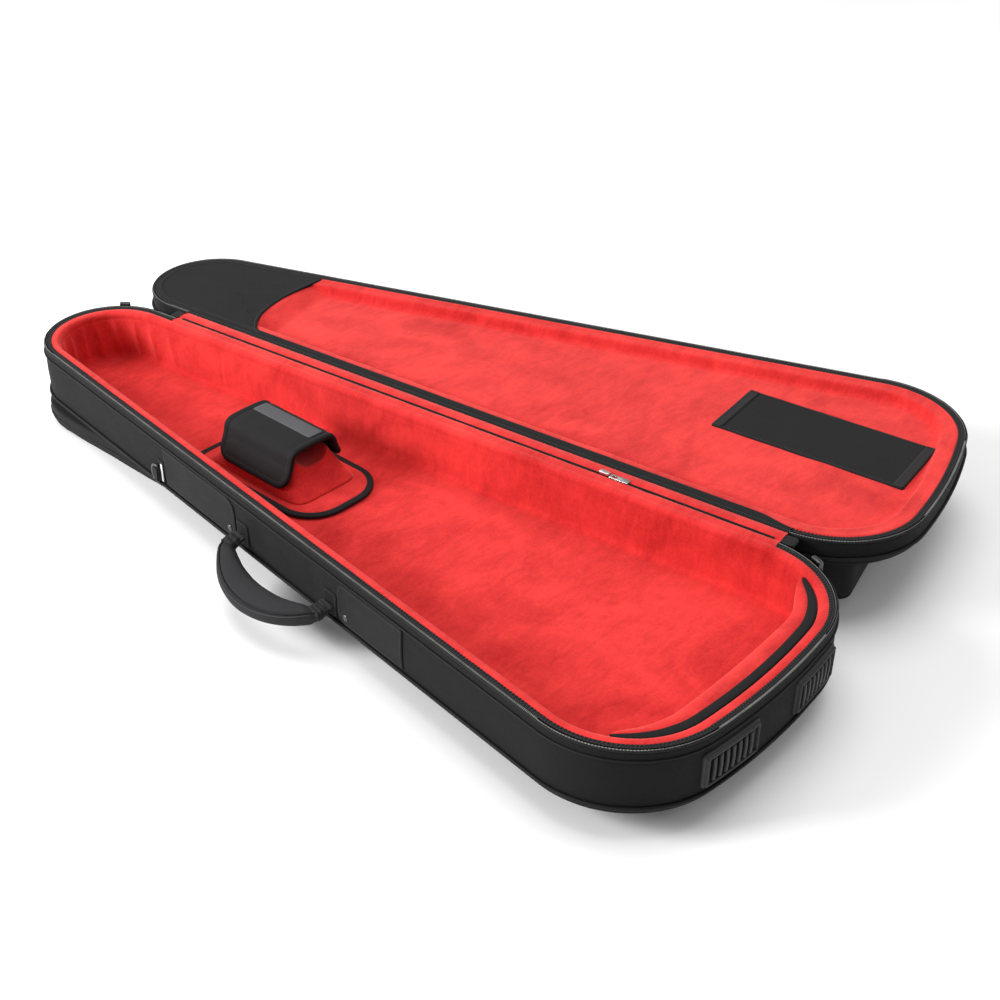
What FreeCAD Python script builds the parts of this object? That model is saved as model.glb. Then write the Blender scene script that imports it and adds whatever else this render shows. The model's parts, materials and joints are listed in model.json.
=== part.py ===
"""Padded gig bag for an electric guitar, lying open on its back.

Millimetres, Z up, floor at Z = 0. The origin is on the floor under the middle of the
tray. +X runs to the butt (wide) end, +Y to the hinged long side, -Y to the carry
handle. Each sub-part is one closed solid in its own STEP file. The lid is drawn shut
on the tray and then turned half a turn about the hinge line, which is how it lies open.
"""
import FreeCAD, Part
import math
import os

os.makedirs("parts", exist_ok=True)
Vec = FreeCAD.Vector
UP = Vec(0, 0, 1)

# ------------------------------------------------------------------ driving sizes
# Plan outline: round head, straight tapering sides, round corners, bowed butt end
bag_length = 1140.0
head_half_width = 77.0        # half width of the straight sides where they reach the head
taper_deg = 6.75              # angle of each long side to the middle line
corner_radius = 117.0
butt_arc_radius = 766.0

# Tray
under_pad_height = 25.0       # harness pocket and back pad that lift the tray
tray_height = 84.0            # underside of the base to the zipper line
base_cup_height = 16.0        # rounded lower cup of the tray
edge_round = 12.0             # outer rounding of the cup and of the lid
shell = 3.0                   # outer cloth with its stiffener
wall_pad = 17.0               # plush padding inside the shell
lining_round = 6.0

# Zipper and hinge
tape_width = 10.0
tape_thick = 1.5
coil_width = 2.0
coil_height = 0.9
coil_inset = 0.6
hinge_gap = 22.0              # strip of cloth between tray edge and lid edge
hinge_rise = 1.2              # hinge line above the zipper line
gusset_start = 112.0          # along the hinged side, from the head end
gusset_end = 1018.0
body_gap = 0.35               # air between parts that move on each other
pull_gap = 0.6                # air between a slider and its pull

# Lid
lid_depth = 36.0
lid_cup_height = 14.0
lid_ledge = 28.0
lid_dish = 12.0
hinge_tape_width = 18.0
head_panel_length = 190.0
bridge_patch_length = 250.0
bridge_patch_width = 108.0
bridge_patch_along = 955.0    # middle of the patch along the hinged side, from the head end
bridge_patch_across = 229.0   # middle of the patch from the lid's hinged edge
patch_thick = 1.2
pocket_depth = 48.0
pocket_inset = 18.0
pocket_length = 660.0
pocket_butt_inset = 60.0
organiser_inset = 34.0
organiser_length = 430.0
organiser_butt_inset = 70.0
pocket_corner_round = 22.0
pocket_edge_round = 8.0
organiser_edge_round = 6.0
dish_start = 24.0             # dish past the head panel
dish_round = 20.0
panel_clear = 0.5             # head panel from the hinge tape's inner edge

# Neck cradle and its strap
cradle_from_head = 425.0      # middle of the cradle, from the head end
cradle_base = (170.0, 100.0)
cradle_top = (118.0, 60.0)
cradle_drop = 22.0            # cradle top below the zipper line
neck_groove_radius = 30.0
neck_groove_depth = 14.0
flange = (226.0, 132.0)
flange_shift = 10.0
flange_thick = 4.0
flange_head_round = 24.0
flange_butt_round = 50.0
binding_width = 9.0
strap_length = 125.0          # along the neck
strap_thick = 6.0
strap_arch = 13.0             # strap underside above the cradle top
strap_near_rise = 11.65       # lower edge of the near flap above the cradle's foot
strap_far_rise = 23.65
strap_clear = 1.6             # air between the strap and the cradle
strap_edge_grow = 0.6         # how much the binding is thicker than the strap on each face
strap_shoulder = 4.0          # how far the strap draws in as it crosses the cradle's top
label_width = 22.0
label_thick = 0.5
loop_patch_length = 80.0
loop_patch_thick = 0.8

# Wedge block at the butt end
block_width = 32.0
block_reach = 80.0
block_drop = 5.0
block_binding_width = 11.0
block_binding_height = 2.5

# Carry handle on the near side
handle_middle = 605.0         # along the near side, from the head end
handle_span = 194.0
handle_reach = 72.0
handle_hold = 36.0            # inner edge of the grip from the wall
handle_thick = 20.0
handle_rise = 18.0            # pivot line above the base seam
handle_pivot_out = 6.0
handle_tilt_deg = 20.0
handle_end_width = 26.0       # grip's width where it meets its loops
handle_tongue = 15.0          # loop from the pivot line to the grip
handle_edge_share = 0.36      # rounding of the grip as a share of its thickness
loop_width = 26.0
loop_roll_radius = 3.4
loop_thick = 5.0
anchor_half_height = 16.0
anchor_thick = 2.2
rivet_radius = 4.0
rivet_height = 1.6
rivet_drop = 5.0              # rivets below the pivot line
rivet_inset_head = 12.0
rivet_inset_body = 14.0

# Patches on the near side
panel_thick = 1.5
panel_head_start = 353.0      # along the near side, from the head end
panel_body_length = 110.0
panel_gap = 1.0               # between a side patch and the end of the grip
panel_head_round = 20.0
panel_body_round = 12.0
panel_round_share = 0.45      # largest rounding as a share of the patch's height

# Small fittings
piping_radius = 1.8
rim_piping_radius = 1.2
rim_seam_drop = 12.0
foot_length = 80.0
foot_spacing = 72.0           # foot middle from the middle line
foot_top_drop = 20.0          # top of a foot below the zipper line
foot_low_rise = 6.0           # bottom of a foot above the base seam
foot_rib_count = 7
foot_rib_width = 4.4
foot_rib_margin = 2.0
foot_frame = 5.0
foot_plate_thick = 3.0
foot_rib_reach = 6.0
ring_radius = 12.0
ring_rod = 1.8
ring_from_head = 340.0
ring_rise = 13.0              # ring's middle above the base seam
ring_out = 5.0                # ring's rod from the wall
ring_tab_thick = 2.0
tunnel_half_width = 3.6
tunnel_half_height = 9.0
tunnel_wrap = 3.4
tab_strip = (-2.0, 10.0)      # webbing strip along the side, from the ring's rod
tab_strip_top = 32.0          # above the base seam
stripe_along = (4.2, 8.2)
stripe_rise = (4.0, 28.0)
stripe_thick = 0.6
slider_length = 14.0
slider_near = 1.5             # slider's inner and outer face from the bag's edge
slider_far = 7.5
slider_down = 6.0
slider_up = 3.0
slider_round = 1.5
pull_length = 34.0
pull_width = 10.0
pull_thick = 2.0
pull_drop = 1.0               # pull's top below the zipper line
pull_slot = (4.0, 6.0, 14.0)  # slot width, and its top and bottom below the pull's top
head_slider_deg = 132.0
butt_slider_deg = 70.0
lining_zip_inset = 8.0        # ends of the lining zip from the ends of the gusset
lining_zip = (2.0, 5.0)       # its edges, outward from the bag's edge
slider_end = 801.0            # along the hinged side, from the head end
lining_slider_size = (13.0, 6.0, 3.4)
lining_slider_out = 1.3
lining_pull_size = (25.0, 8.4, 1.6)
lining_pull_out = 0.6
gusset_tab_length = 16.0
gusset_tab_height = 4.0
gusset_tab_edges = (1.0, 3.0) # from the tray's edge and from the lid's edge
gusset_tab_round = 5.0
pocket_zip = (500.0, 980.0)   # along the near side, from the head end
pocket_zip_share = 0.45       # its place up the pocket's depth
pocket_zip_width = 6.0
pocket_slider_start = 560.0
pocket_slider_size = (14.0, 5.0, 10.0)
pocket_pull_length = 26.0

# Under the tray
harness_half_width = 94.0
harness_length = 345.0
harness_head_inset = 4.0
harness_tab_size = (46.0, 28.0, 5.0)
harness_tab_inset = 24.0
harness_tab_drop = 1.0
back_pad_size = (540.0, 240.0)
back_pad_butt_inset = 70.0
back_pad_round = 60.0
under_round = 9.0

# ------------------------------------------------------------------ derived levels
base_z = under_pad_height
floor_z = base_z + base_cup_height
rim_z = base_z + tray_height
hinge_z = rim_z + hinge_rise
lid_z = rim_z + 2 * hinge_rise
lid_top_z = lid_z + lid_depth
organiser_depth = rim_z - lid_depth - pocket_depth
lining_inset = shell + wall_pad
far_out = 400.0               # past everything, for cutting boxes
head_x = -bag_length / 2
butt_x = bag_length / 2

# ------------------------------------------------------------------ plan outline
taper = math.radians(taper_deg)
along = Vec(math.cos(taper), math.sin(taper), 0)
outward = Vec(-math.sin(taper), math.cos(taper), 0)
side_start = Vec(head_x, head_half_width, 0)
head_radius = head_half_width * math.cos(taper) / (1 - math.sin(taper))
head_centre = Vec(head_x + head_radius, 0, 0)
butt_centre = Vec(butt_x - butt_arc_radius, 0, 0)


def find_corner_centre():
    """Centre of the round that touches a long side and the bowed butt end."""
    start = side_start - outward * corner_radius
    to_start = start - butt_centre
    half_b = to_start.dot(along)
    reach = butt_arc_radius - corner_radius
    excess = to_start.dot(to_start) - reach * reach
    return start + along * (math.sqrt(half_b * half_b - excess) - half_b)


corner_centre = find_corner_centre()
corner_out = Vec(corner_centre - butt_centre).normalize()


def flip(point):
    """The same point on the other side of the middle line."""
    return Vec(point.x, -point.y, point.z)


def outline(grow, z):
    """Closed plan wire, moved outward by grow, at height z."""
    lift = Vec(0, 0, z)
    head_end = head_centre + outward * (head_radius + grow)
    side_end = corner_centre + outward * (corner_radius + grow)
    corner_mid = corner_centre + Vec(outward + corner_out).normalize() * (corner_radius + grow)
    corner_end = corner_centre + corner_out * (corner_radius + grow)
    head_tip = Vec(head_x - grow, 0, 0)
    butt_tip = Vec(butt_x + grow, 0, 0)
    edges = [
        Part.Arc(flip(head_end) + lift, head_tip + lift, head_end + lift).toShape(),
        Part.LineSegment(head_end + lift, side_end + lift).toShape(),
        Part.Arc(side_end + lift, corner_mid + lift, corner_end + lift).toShape(),
        Part.Arc(corner_end + lift, butt_tip + lift, flip(corner_end) + lift).toShape(),
        Part.Arc(flip(corner_end) + lift, flip(corner_mid) + lift, flip(side_end) + lift).toShape(),
        Part.LineSegment(flip(side_end) + lift, flip(head_end) + lift).toShape(),
    ]
    return Part.Wire(edges)


# ------------------------------------------------------------------ solid helpers
def slab(grow, low, high):
    """Flat plate of the plan outline between two heights."""
    return Part.Face(outline(grow, low)).extrude(Vec(0, 0, high - low))


def level_edges(shape, z):
    """Edges of a shape that lie wholly at height z."""
    return [e for e in shape.Edges if abs(e.BoundBox.ZMin - z) < 1e-4 and abs(e.BoundBox.ZMax - z) < 1e-4]


def rounded_slab(grow, low, high, radius, round_z):
    """Plate of the plan outline with the edge at round_z rounded."""
    plate = slab(grow, low, high)
    return plate.makeFillet(radius, level_edges(plate, round_z))


def ring(inner, outer, low, high):
    """Band that follows the plan outline between two offsets."""
    return slab(outer, low, high).cut(slab(inner, low - 1, high + 1))


def piping(grow, z, radius):
    """Closed round cord of cloth around the plan outline."""
    path = outline(grow, z)
    start = path.Edges[1].valueAt(path.Edges[1].FirstParameter)
    circle = Part.Wire([Part.makeCircle(radius, start, along)])
    return Part.makeSolid(path.makePipeShell([circle], True, False))


def box(low, high):
    """Box from its low corner to its high corner."""
    return Part.makeBox(high[0] - low[0], high[1] - low[1], high[2] - low[2], Vec(*low))


def cylinder(radius, height, start, direction):
    return Part.makeCylinder(radius, height, Vec(*start), Vec(*direction))


def prism(points, direction):
    """Straight extrusion of a closed polygon."""
    wire = Part.makePolygon([Vec(*p) for p in points] + [Vec(*points[0])])
    return Part.Face(wire).extrude(Vec(*direction))


def fuse(shapes):
    """One solid from touching solids."""
    return shapes[0].fuse(shapes[1:]).removeSplitter()


def round_upright(shape, radius, x=None):
    """Round the edges that stand straight up, or only those at one x."""
    upright = []
    for edge in shape.Edges:
        bounds = edge.BoundBox
        stands = bounds.ZLength > 0.5 and bounds.XLength < 1e-3 and bounds.YLength < 1e-3
        if stands and (x is None or abs(bounds.XMin - x) < 1e-3):
            upright.append(edge)
    return shape.makeFillet(radius, upright)


def turned(shape, point, axis, degrees):
    copy = shape.copy()
    copy.rotate(Vec(*point), Vec(*axis), degrees)
    return copy


def on_hinge_side(shape):
    """Local X runs along the hinged side from the head end, local Y points outward."""
    copy = turned(shape, (0, 0, 0), (0, 0, 1), taper_deg)
    copy.translate(side_start)
    return copy


def on_near_side(shape):
    """Local X runs along the near side from the head end, local -Y points outward."""
    copy = turned(shape, (0, 0, 0), (0, 0, 1), -taper_deg)
    copy.translate(flip(side_start))
    return copy


def on_arc(shape, centre, degrees):
    """Turn a shape drawn on +X round an upright axis, then move it to that axis."""
    copy = turned(shape, (0, 0, 0), (0, 0, 1), degrees)
    copy.translate(centre)
    return copy


hinge_point = side_start + outward * (hinge_gap / 2) + Vec(0, 0, hinge_z)


def opened(shape):
    """Turn a lid shape from shut to open, half a turn about the hinge line."""
    return turned(shape, tuple(hinge_point), tuple(along), 180)


def save(name, shape):
    """Write one sub-part as a single solid."""
    solids = shape.Solids
    if len(solids) != 1 or not shape.isValid():
        raise ValueError(f"{name}: {len(solids)} solids, valid {shape.isValid()}")
    solids[0].exportStep(f"parts/{name}.step")
    print(f"{name:24s} {solids[0].Volume / 1000:9.1f} cm3")


# ------------------------------------------------------------------ tray
def make_tray():
    cup = rounded_slab(0, base_z, floor_z, edge_round, base_z)
    fill = rounded_slab(-shell, base_z + shell, floor_z, edge_round - shell, base_z + shell)
    save("base_shell", cup.cut(fill))
    save("floor_pad", fill)
    save("side_wall", ring(-shell, 0, floor_z, rim_z - tape_thick))
    lining = ring(-lining_inset, -shell, floor_z, rim_z - tape_thick)
    top_edges = level_edges(lining, rim_z - tape_thick)
    inner_edges = [e for e in top_edges if is_inner(e)]
    save("wall_lining", lining.makeFillet(lining_round, inner_edges))
    save("base_piping", piping(piping_radius, floor_z - 2, piping_radius))
    save("rim_piping", piping(rim_piping_radius, rim_z - rim_seam_drop, rim_piping_radius))


def is_inner(edge):
    """True for an edge of the lining's inner outline."""
    middle = edge.valueAt((edge.FirstParameter + edge.LastParameter) / 2)
    inner = outline(-lining_inset, middle.z)
    return Part.Vertex(middle).distToShape(inner)[0] < 0.01


hinge_stretch = on_hinge_side(box((gusset_start, -45, 0), (gusset_end, hinge_gap / 2 + 1, far_out)))


def make_zipper():
    tape = ring(-tape_width, 0, rim_z - tape_thick, rim_z)
    save("zipper_tape_tray", tape.cut(hinge_stretch))
    coil = ring(-coil_inset - coil_width, -coil_inset, rim_z, rim_z + coil_height)
    save("zipper_coil_tray", coil.cut(hinge_stretch))
    edge = hinge_gap - body_gap
    gusset = box((gusset_start, -tape_width, rim_z - tape_thick), (gusset_end, edge, rim_z))
    save("hinge_gusset", on_hinge_side(gusset))
    start = gusset_start + lining_zip_inset
    stop = gusset_end - lining_zip_inset
    strip = box((start, lining_zip[0], rim_z), (stop, lining_zip[1], rim_z + coil_height))
    save("lining_zip_coil", on_hinge_side(strip))
    tab_in = gusset_tab_edges[0]
    tab_out = hinge_gap - gusset_tab_edges[1]
    for name, start in (("head", gusset_start - gusset_tab_length), ("butt", gusset_end)):
        stop = start + gusset_tab_length
        tab = box((start, tab_in, rim_z - gusset_tab_height), (stop, tab_out, rim_z))
        save(f"gusset_tab_{name}", on_hinge_side(round_upright(tab, gusset_tab_round)))


# ------------------------------------------------------------------ sliders and pulls
def slider_body(radius):
    """Zipper slider drawn on the +X side of an upright axis, outside an edge of that radius."""
    half = slider_length / 2
    low = (radius + slider_near, -half, rim_z - slider_down)
    high = (radius + slider_far, half, rim_z + slider_up)
    return round_upright(box(low, high), slider_round)


def hanging_pull(inner):
    """Flat pull with a slot, hanging outside a slider."""
    half = pull_width / 2
    top = rim_z - pull_drop
    plate = box((inner, -half, top - pull_length), (inner + pull_thick, half, top))
    width, high, low = pull_slot
    slot = box((inner - 1, -width / 2, top - low), (inner + pull_thick + 1, width / 2, top - high))
    return plate.cut(slot)


def make_sliders():
    places = (
        ("head", head_centre, head_radius, head_slider_deg),
        ("butt", corner_centre, corner_radius, butt_slider_deg),
    )
    for name, centre, radius, angle in places:
        save(f"slider_{name}", on_arc(slider_body(radius), centre, angle))
        pull = hanging_pull(radius + slider_far + pull_gap)
        save(f"slider_pull_{name}", on_arc(pull, centre, angle))


def make_lining_slider():
    """Slider and pull of the zip in the hinge strip. The pull lies flat beside the coil."""
    length, width, height = lining_slider_size
    low = rim_z + coil_height + body_gap
    out = lining_slider_out
    body = box((slider_end - length, out, low), (slider_end, out + width, low + height))
    save("lining_slider", on_hinge_side(round_upright(body, slider_round)))
    length, width, height = lining_pull_size
    start = slider_end + 2 * pull_gap
    out = lining_pull_out
    base = rim_z + body_gap
    pull = box((start, out, base), (start + length, out + width, base + height))
    middle = out + width / 2
    slot = box((start + 3, middle - 2, rim_z), (start + 9, middle + 2, rim_z + height + 3))
    coil_room = box((start - 1, 0, rim_z), (start + 2 * length, lining_zip[1] + body_gap, low))
    save("lining_pull", on_hinge_side(pull.cut(slot).cut(coil_room)))


# ------------------------------------------------------------------ neck cradle and strap
cradle_x = head_x + cradle_from_head
cradle_top_z = rim_z - cradle_drop
cradle_foot_z = floor_z + body_gap + flange_thick


def rectangle(length, width, z):
    points = []
    for sx, sy in ((-1, -1), (1, -1), (1, 1), (-1, 1)):
        points.append(Vec(cradle_x + sx * length / 2, sy * width / 2, z))
    return Part.makePolygon(points + [points[0]])


def slope_y(z):
    """Half width of the cradle block at height z."""
    share = (cradle_top_z - z) / (cradle_top_z - cradle_foot_z)
    return cradle_top[1] / 2 + share * (cradle_base[1] - cradle_top[1]) / 2


def flange_plate(grow, low, high):
    length = flange[0] + 2 * grow
    width = flange[1] + 2 * grow
    middle = cradle_x + flange_shift
    plate = box((middle - length / 2, -width / 2, low), (middle + length / 2, width / 2, high))
    plate = round_upright(plate, flange_butt_round + grow, middle + length / 2)
    return round_upright(plate, flange_head_round + grow, middle - length / 2)


def make_cradle():
    foot = rectangle(*cradle_base, cradle_foot_z)
    block = Part.makeLoft([foot, rectangle(*cradle_top, cradle_top_z)], True)
    groove_z = cradle_top_z + neck_groove_radius - neck_groove_depth
    length = 2 * cradle_base[0]
    groove = cylinder(neck_groove_radius, length, (cradle_x - length / 2, 0, groove_z), (1, 0, 0))
    save("cradle_block", block.cut(groove))
    low = floor_z + body_gap
    save("cradle_flange", flange_plate(-binding_width, low, cradle_foot_z))
    edge = flange_plate(0, low, cradle_foot_z + 1)
    save("cradle_binding", edge.cut(flange_plate(-binding_width, low - 1, cradle_foot_z + 2)))
    high_z = cradle_top_z - 4
    low_z = cradle_foot_z + strap_near_rise + 3
    x = cradle_x - loop_patch_length / 2
    face = [(x, -slope_y(low_z), low_z), (x, -slope_y(high_z), high_z)]
    face += [(x, y - loop_patch_thick, z) for x, y, z in reversed(face)]
    save("cradle_loop_patch", prism(face, (loop_patch_length, 0, 0)))


def strap_profile(inner, outer, x):
    """Closed section of the strap between two distances from the cradle's surface."""
    near_z = cradle_foot_z + strap_near_rise
    far_z = cradle_foot_z + strap_far_rise
    arch_z = cradle_top_z + strap_arch - strap_clear
    top_y = cradle_top[1] / 2

    def path(clear):
        return [
            (x, -slope_y(near_z) - clear, near_z),
            (x, -top_y - clear, cradle_top_z),
            (x, -top_y + strap_shoulder - clear, arch_z + clear),
            (x, top_y - strap_shoulder + clear, arch_z + clear),
            (x, top_y + clear, cradle_top_z),
            (x, slope_y(far_z) + clear, far_z),
        ]

    return path(outer) + list(reversed(path(inner)))


strap_x0 = cradle_x - strap_length / 2
strap_x1 = cradle_x + strap_length / 2
strap_outer = strap_clear + strap_thick


def make_strap():
    inner_x0 = strap_x0 + binding_width
    inner_x1 = strap_x1 - binding_width
    section = strap_profile(strap_clear, strap_outer, inner_x0)
    save("neck_strap", prism(section, (inner_x1 - inner_x0, 0, 0)))
    for name, start in (("head", strap_x0), ("butt", inner_x1)):
        section = strap_profile(strap_clear - strap_edge_grow, strap_outer + strap_edge_grow, start)
        save(f"strap_binding_{name}", prism(section, (binding_width, 0, 0)))
    top_z = cradle_top_z + strap_arch - strap_clear + strap_outer
    label = box((inner_x0 + 2, 2, top_z), (inner_x1 - 2, 2 + label_width, top_z + label_thick))
    save("strap_label", label)


# ------------------------------------------------------------------ butt block
block_outer = -lining_inset - 2 * body_gap
block_inner = block_outer - block_width
block_top_z = rim_z - block_drop
butt_zone = box((butt_x - block_reach, -far_out, 0), (butt_x + 50, far_out, far_out))


def make_butt_block():
    pad = ring(block_inner, block_outer, floor_z + body_gap, block_top_z).common(butt_zone)
    save("end_block", pad)
    edge_top = block_top_z + block_binding_height
    edge = ring(block_outer - block_binding_width, block_outer, block_top_z, edge_top)
    save("end_block_binding", edge.common(butt_zone))


# ------------------------------------------------------------------ near side fittings
handle_z = floor_z + handle_rise
patch_low = floor_z + 2
patch_high = rim_z - rim_seam_drop - 2 * rim_piping_radius
handle_x0 = handle_middle - handle_span / 2
handle_x1 = handle_middle + handle_span / 2


def crescent():
    """Grip outline between two arcs, in the plane through the pivot line."""
    start = -handle_pivot_out - handle_tongue
    inner_x0 = handle_x0 + handle_end_width
    inner_x1 = handle_x1 - handle_end_width
    corners = [Vec(x, start, 0) for x in (handle_x0, handle_x1, inner_x1, inner_x0)]
    outer = Part.Arc(corners[0], Vec(handle_middle, -handle_reach, 0), corners[1]).toShape()
    inner = Part.Arc(corners[2], Vec(handle_middle, -handle_hold, 0), corners[3]).toShape()
    body_end = Part.LineSegment(corners[1], corners[2]).toShape()
    head_end = Part.LineSegment(corners[3], corners[0]).toShape()
    return Part.Face(Part.Wire([outer, body_end, inner, head_end]))


def tilted(shape):
    """Tip a handle shape down about its pivot line and lift it to its height."""
    shape.translate(Vec(0, 0, handle_z))
    return turned(shape, (0, -handle_pivot_out, handle_z), (1, 0, 0), handle_tilt_deg)


def make_handle():
    half = handle_thick / 2
    grip = crescent().extrude(Vec(0, 0, handle_thick))
    grip.translate(Vec(0, 0, -half))
    edges = level_edges(grip, half) + level_edges(grip, -half)
    grip = grip.makeFillet(handle_thick * handle_edge_share, edges)
    save("handle_grip", on_near_side(tilted(grip)))
    inset = handle_end_width / 2
    length = loop_width - 2
    for name, middle in (("head", handle_x0 + inset), ("body", handle_x1 - inset)):
        x0 = middle - length / 2
        roll = cylinder(loop_roll_radius, length, (x0, -handle_pivot_out, 0), (1, 0, 0))
        tongue_end = -handle_pivot_out - handle_tongue
        low = (x0, tongue_end, -loop_thick / 2)
        high = (x0 + length, -handle_pivot_out, loop_thick / 2)
        save(f"handle_loop_{name}", on_near_side(tilted(fuse([roll, box(low, high)]))))
        low = (x0, -anchor_thick, handle_z - anchor_half_height)
        high = (x0 + length, 0, handle_z + anchor_half_height)
        save(f"handle_anchor_{name}", on_near_side(box(low, high)))


def side_panel(start, stop, radius, round_x):
    """Flat patch on the near side with two corners rounded, never by more than its height allows."""
    plate = box((start, -panel_thick, patch_low), (stop, 0, patch_high))
    corners = []
    for edge in plate.Edges:
        bounds = edge.BoundBox
        across = bounds.YLength > 0.5 and bounds.ZLength < 1e-3
        if across and abs(bounds.Center.x - round_x) < 1e-3:
            corners.append(edge)
    radius = min(radius, panel_round_share * (patch_high - patch_low))
    return plate.makeFillet(radius, corners)


def make_side_panels():
    head_stop = handle_x0 - panel_gap
    body_start = handle_x1 + panel_gap
    head = side_panel(panel_head_start, head_stop, panel_head_round, head_stop)
    save("side_panel_head", on_near_side(head))
    body = side_panel(body_start, body_start + panel_body_length, panel_body_round, body_start)
    save("side_panel_body", on_near_side(body))
    rivet_z = handle_z - rivet_drop
    for name, x in (("head", head_stop - rivet_inset_head), ("body", body_start + rivet_inset_body)):
        rivet = cylinder(rivet_radius, rivet_height, (x, -panel_thick, rivet_z), (0, -1, 0))
        save(f"rivet_{name}", on_near_side(rivet))


def make_ring():
    x = ring_from_head
    y = -ring_out
    z = floor_z + ring_rise
    thick = ring_tab_thick
    strip = box((x + tab_strip[0], -thick, patch_low), (x + tab_strip[1], 0, floor_z + tab_strip_top))
    low = (x - tunnel_half_width, y - tunnel_wrap, z - tunnel_half_height)
    high = (x + tunnel_half_width, -thick, z + tunnel_half_height)
    room_low = (x, y, z - 2 * tunnel_half_height)
    bar_room = cylinder(ring_rod + body_gap, 4 * tunnel_half_height, room_low, (0, 0, 1))
    save("ring_tab", on_near_side(fuse([strip, box(low, high)]).cut(bar_room)))
    low = (x + stripe_along[0], -thick - stripe_thick, floor_z + stripe_rise[0])
    high = (x + stripe_along[1], -thick, floor_z + stripe_rise[1])
    save("reflective_strip", on_near_side(box(low, high)))
    bar = cylinder(ring_rod, 2 * ring_radius, (x, y, z - ring_radius), (0, 0, 1))
    section = Part.makeCircle(ring_rod, Vec(x, y, z + ring_radius), Vec(1, 0, 0))
    bow = Part.Face(Part.Wire([section])).revolve(Vec(x, y, z), Vec(0, -1, 0), 180)
    caps = [Part.makeSphere(ring_rod, Vec(x, y, z + side * ring_radius)) for side in (-1, 1)]
    save("d_ring", on_near_side(fuse([bar, bow] + caps)))


def make_feet():
    """Ribbed rubber bumpers that follow the bowed butt end."""
    top = rim_z - foot_top_drop
    low = floor_z + foot_low_rise
    past = butt_x + 50
    half_rib = foot_rib_width / 2
    pitch = (foot_length - 2 * foot_frame) / (foot_rib_count + 1)
    for name, middle in (("near", -foot_spacing), ("far", foot_spacing)):
        y0 = middle - foot_length / 2
        y1 = middle + foot_length / 2
        zone = box((0, y0, low), (past, y1, top))
        window = box((0, y0 + foot_frame, low + foot_frame), (past, y1 - foot_frame, top - foot_frame))
        relief = ring(foot_plate_thick, foot_rib_reach, low, top).common(zone)
        pieces = [ring(0, foot_plate_thick, low, top).common(zone), relief.cut(window)]
        for k in range(foot_rib_count):
            rib_y = y0 + foot_frame + (k + 1) * pitch
            rib_low = (0, rib_y - half_rib, low + foot_rib_margin)
            rib_high = (past, rib_y + half_rib, top - foot_rib_margin)
            pieces.append(relief.common(box(rib_low, rib_high)))
        save(f"foot_plate_{name}", fuse(pieces))


# ------------------------------------------------------------------ under the tray
def make_underside():
    centre_x = head_x + harness_half_width - harness_head_inset
    stop = head_x + harness_length
    disc = cylinder(harness_half_width, base_z, (centre_x, 0, 0), (0, 0, 1))
    tail = box((centre_x, -harness_half_width, 0), (stop, harness_half_width, base_z))
    pocket = fuse([disc, tail])
    save("harness_pocket", pocket.makeFillet(under_round, level_edges(pocket, 0)))
    length, width, height = harness_tab_size
    top = base_z - harness_tab_drop
    for name, side in (("near", -1), ("far", 1)):
        y = side * (harness_half_width - harness_tab_inset)
        tab = box((stop, y - width / 2, top - height), (stop + length, y + width / 2, top))
        save(f"harness_tab_{name}", tab)
    length, width = back_pad_size
    start = butt_x - back_pad_butt_inset - length
    pad = box((start, -width / 2, 0), (start + length, width / 2, base_z))
    pad = round_upright(pad, back_pad_round)
    save("back_pad", pad.makeFillet(under_round, level_edges(pad, 0)))


# ------------------------------------------------------------------ lid
lid_seam_z = lid_top_z - lid_cup_height
lid_pad_z = lid_z + tape_thick
pocket_x1 = butt_x - pocket_butt_inset
pocket_x0 = pocket_x1 - pocket_length
pocket_low = lid_top_z
pocket_high = lid_top_z + pocket_depth


def make_lid():
    cup = rounded_slab(0, lid_seam_z, lid_top_z, edge_round, lid_top_z)
    inner_top = lid_top_z - shell
    hollow = rounded_slab(-shell, lid_seam_z, inner_top, edge_round - shell, inner_top)
    save("lid_shell", opened(cup.cut(hollow)))
    save("lid_band", opened(ring(-shell, 0, lid_pad_z, lid_seam_z)))
    save("lid_piping", opened(piping(piping_radius, lid_seam_z, piping_radius)))
    lining = rounded_slab(-shell, lid_pad_z, inner_top, edge_round - shell, inner_top)
    panel_end = head_x + head_panel_length
    past_panel = box((panel_end + dish_start, -far_out, 0), (butt_x, far_out, far_out))
    dish = slab(-lid_ledge, lid_pad_z - 1, lid_pad_z + lid_dish).common(past_panel)
    dish = round_upright(dish, dish_round)
    save("lid_lining", opened(lining.cut(dish)))
    tape = ring(-tape_width, 0, lid_z, lid_pad_z)
    save("zipper_tape_lid", opened(tape.cut(hinge_stretch)))
    hinge_tape = ring(-hinge_tape_width, 0, lid_z, lid_pad_z)
    save("lid_hinge_tape", opened(hinge_tape.common(hinge_stretch)))
    coil = ring(-coil_inset - coil_width, -coil_inset, lid_z - coil_height, lid_z)
    save("zipper_coil_lid", opened(coil.cut(hinge_stretch)))
    panel = slab(-hinge_tape_width - panel_clear, lid_z, lid_pad_z)
    panel = panel.common(box((head_x, -far_out, 0), (panel_end, far_out, far_out)))
    save("lid_head_panel", opened(panel))
    patch_top = lid_pad_z + lid_dish
    half_l = bridge_patch_length / 2
    half_w = bridge_patch_width / 2
    patch = box((-half_l, -half_w, patch_top - patch_thick), (half_l, half_w, patch_top))
    patch.translate(Vec(bridge_patch_along, -bridge_patch_across, 0))
    save("lid_bridge_patch", opened(on_hinge_side(patch)))


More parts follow.
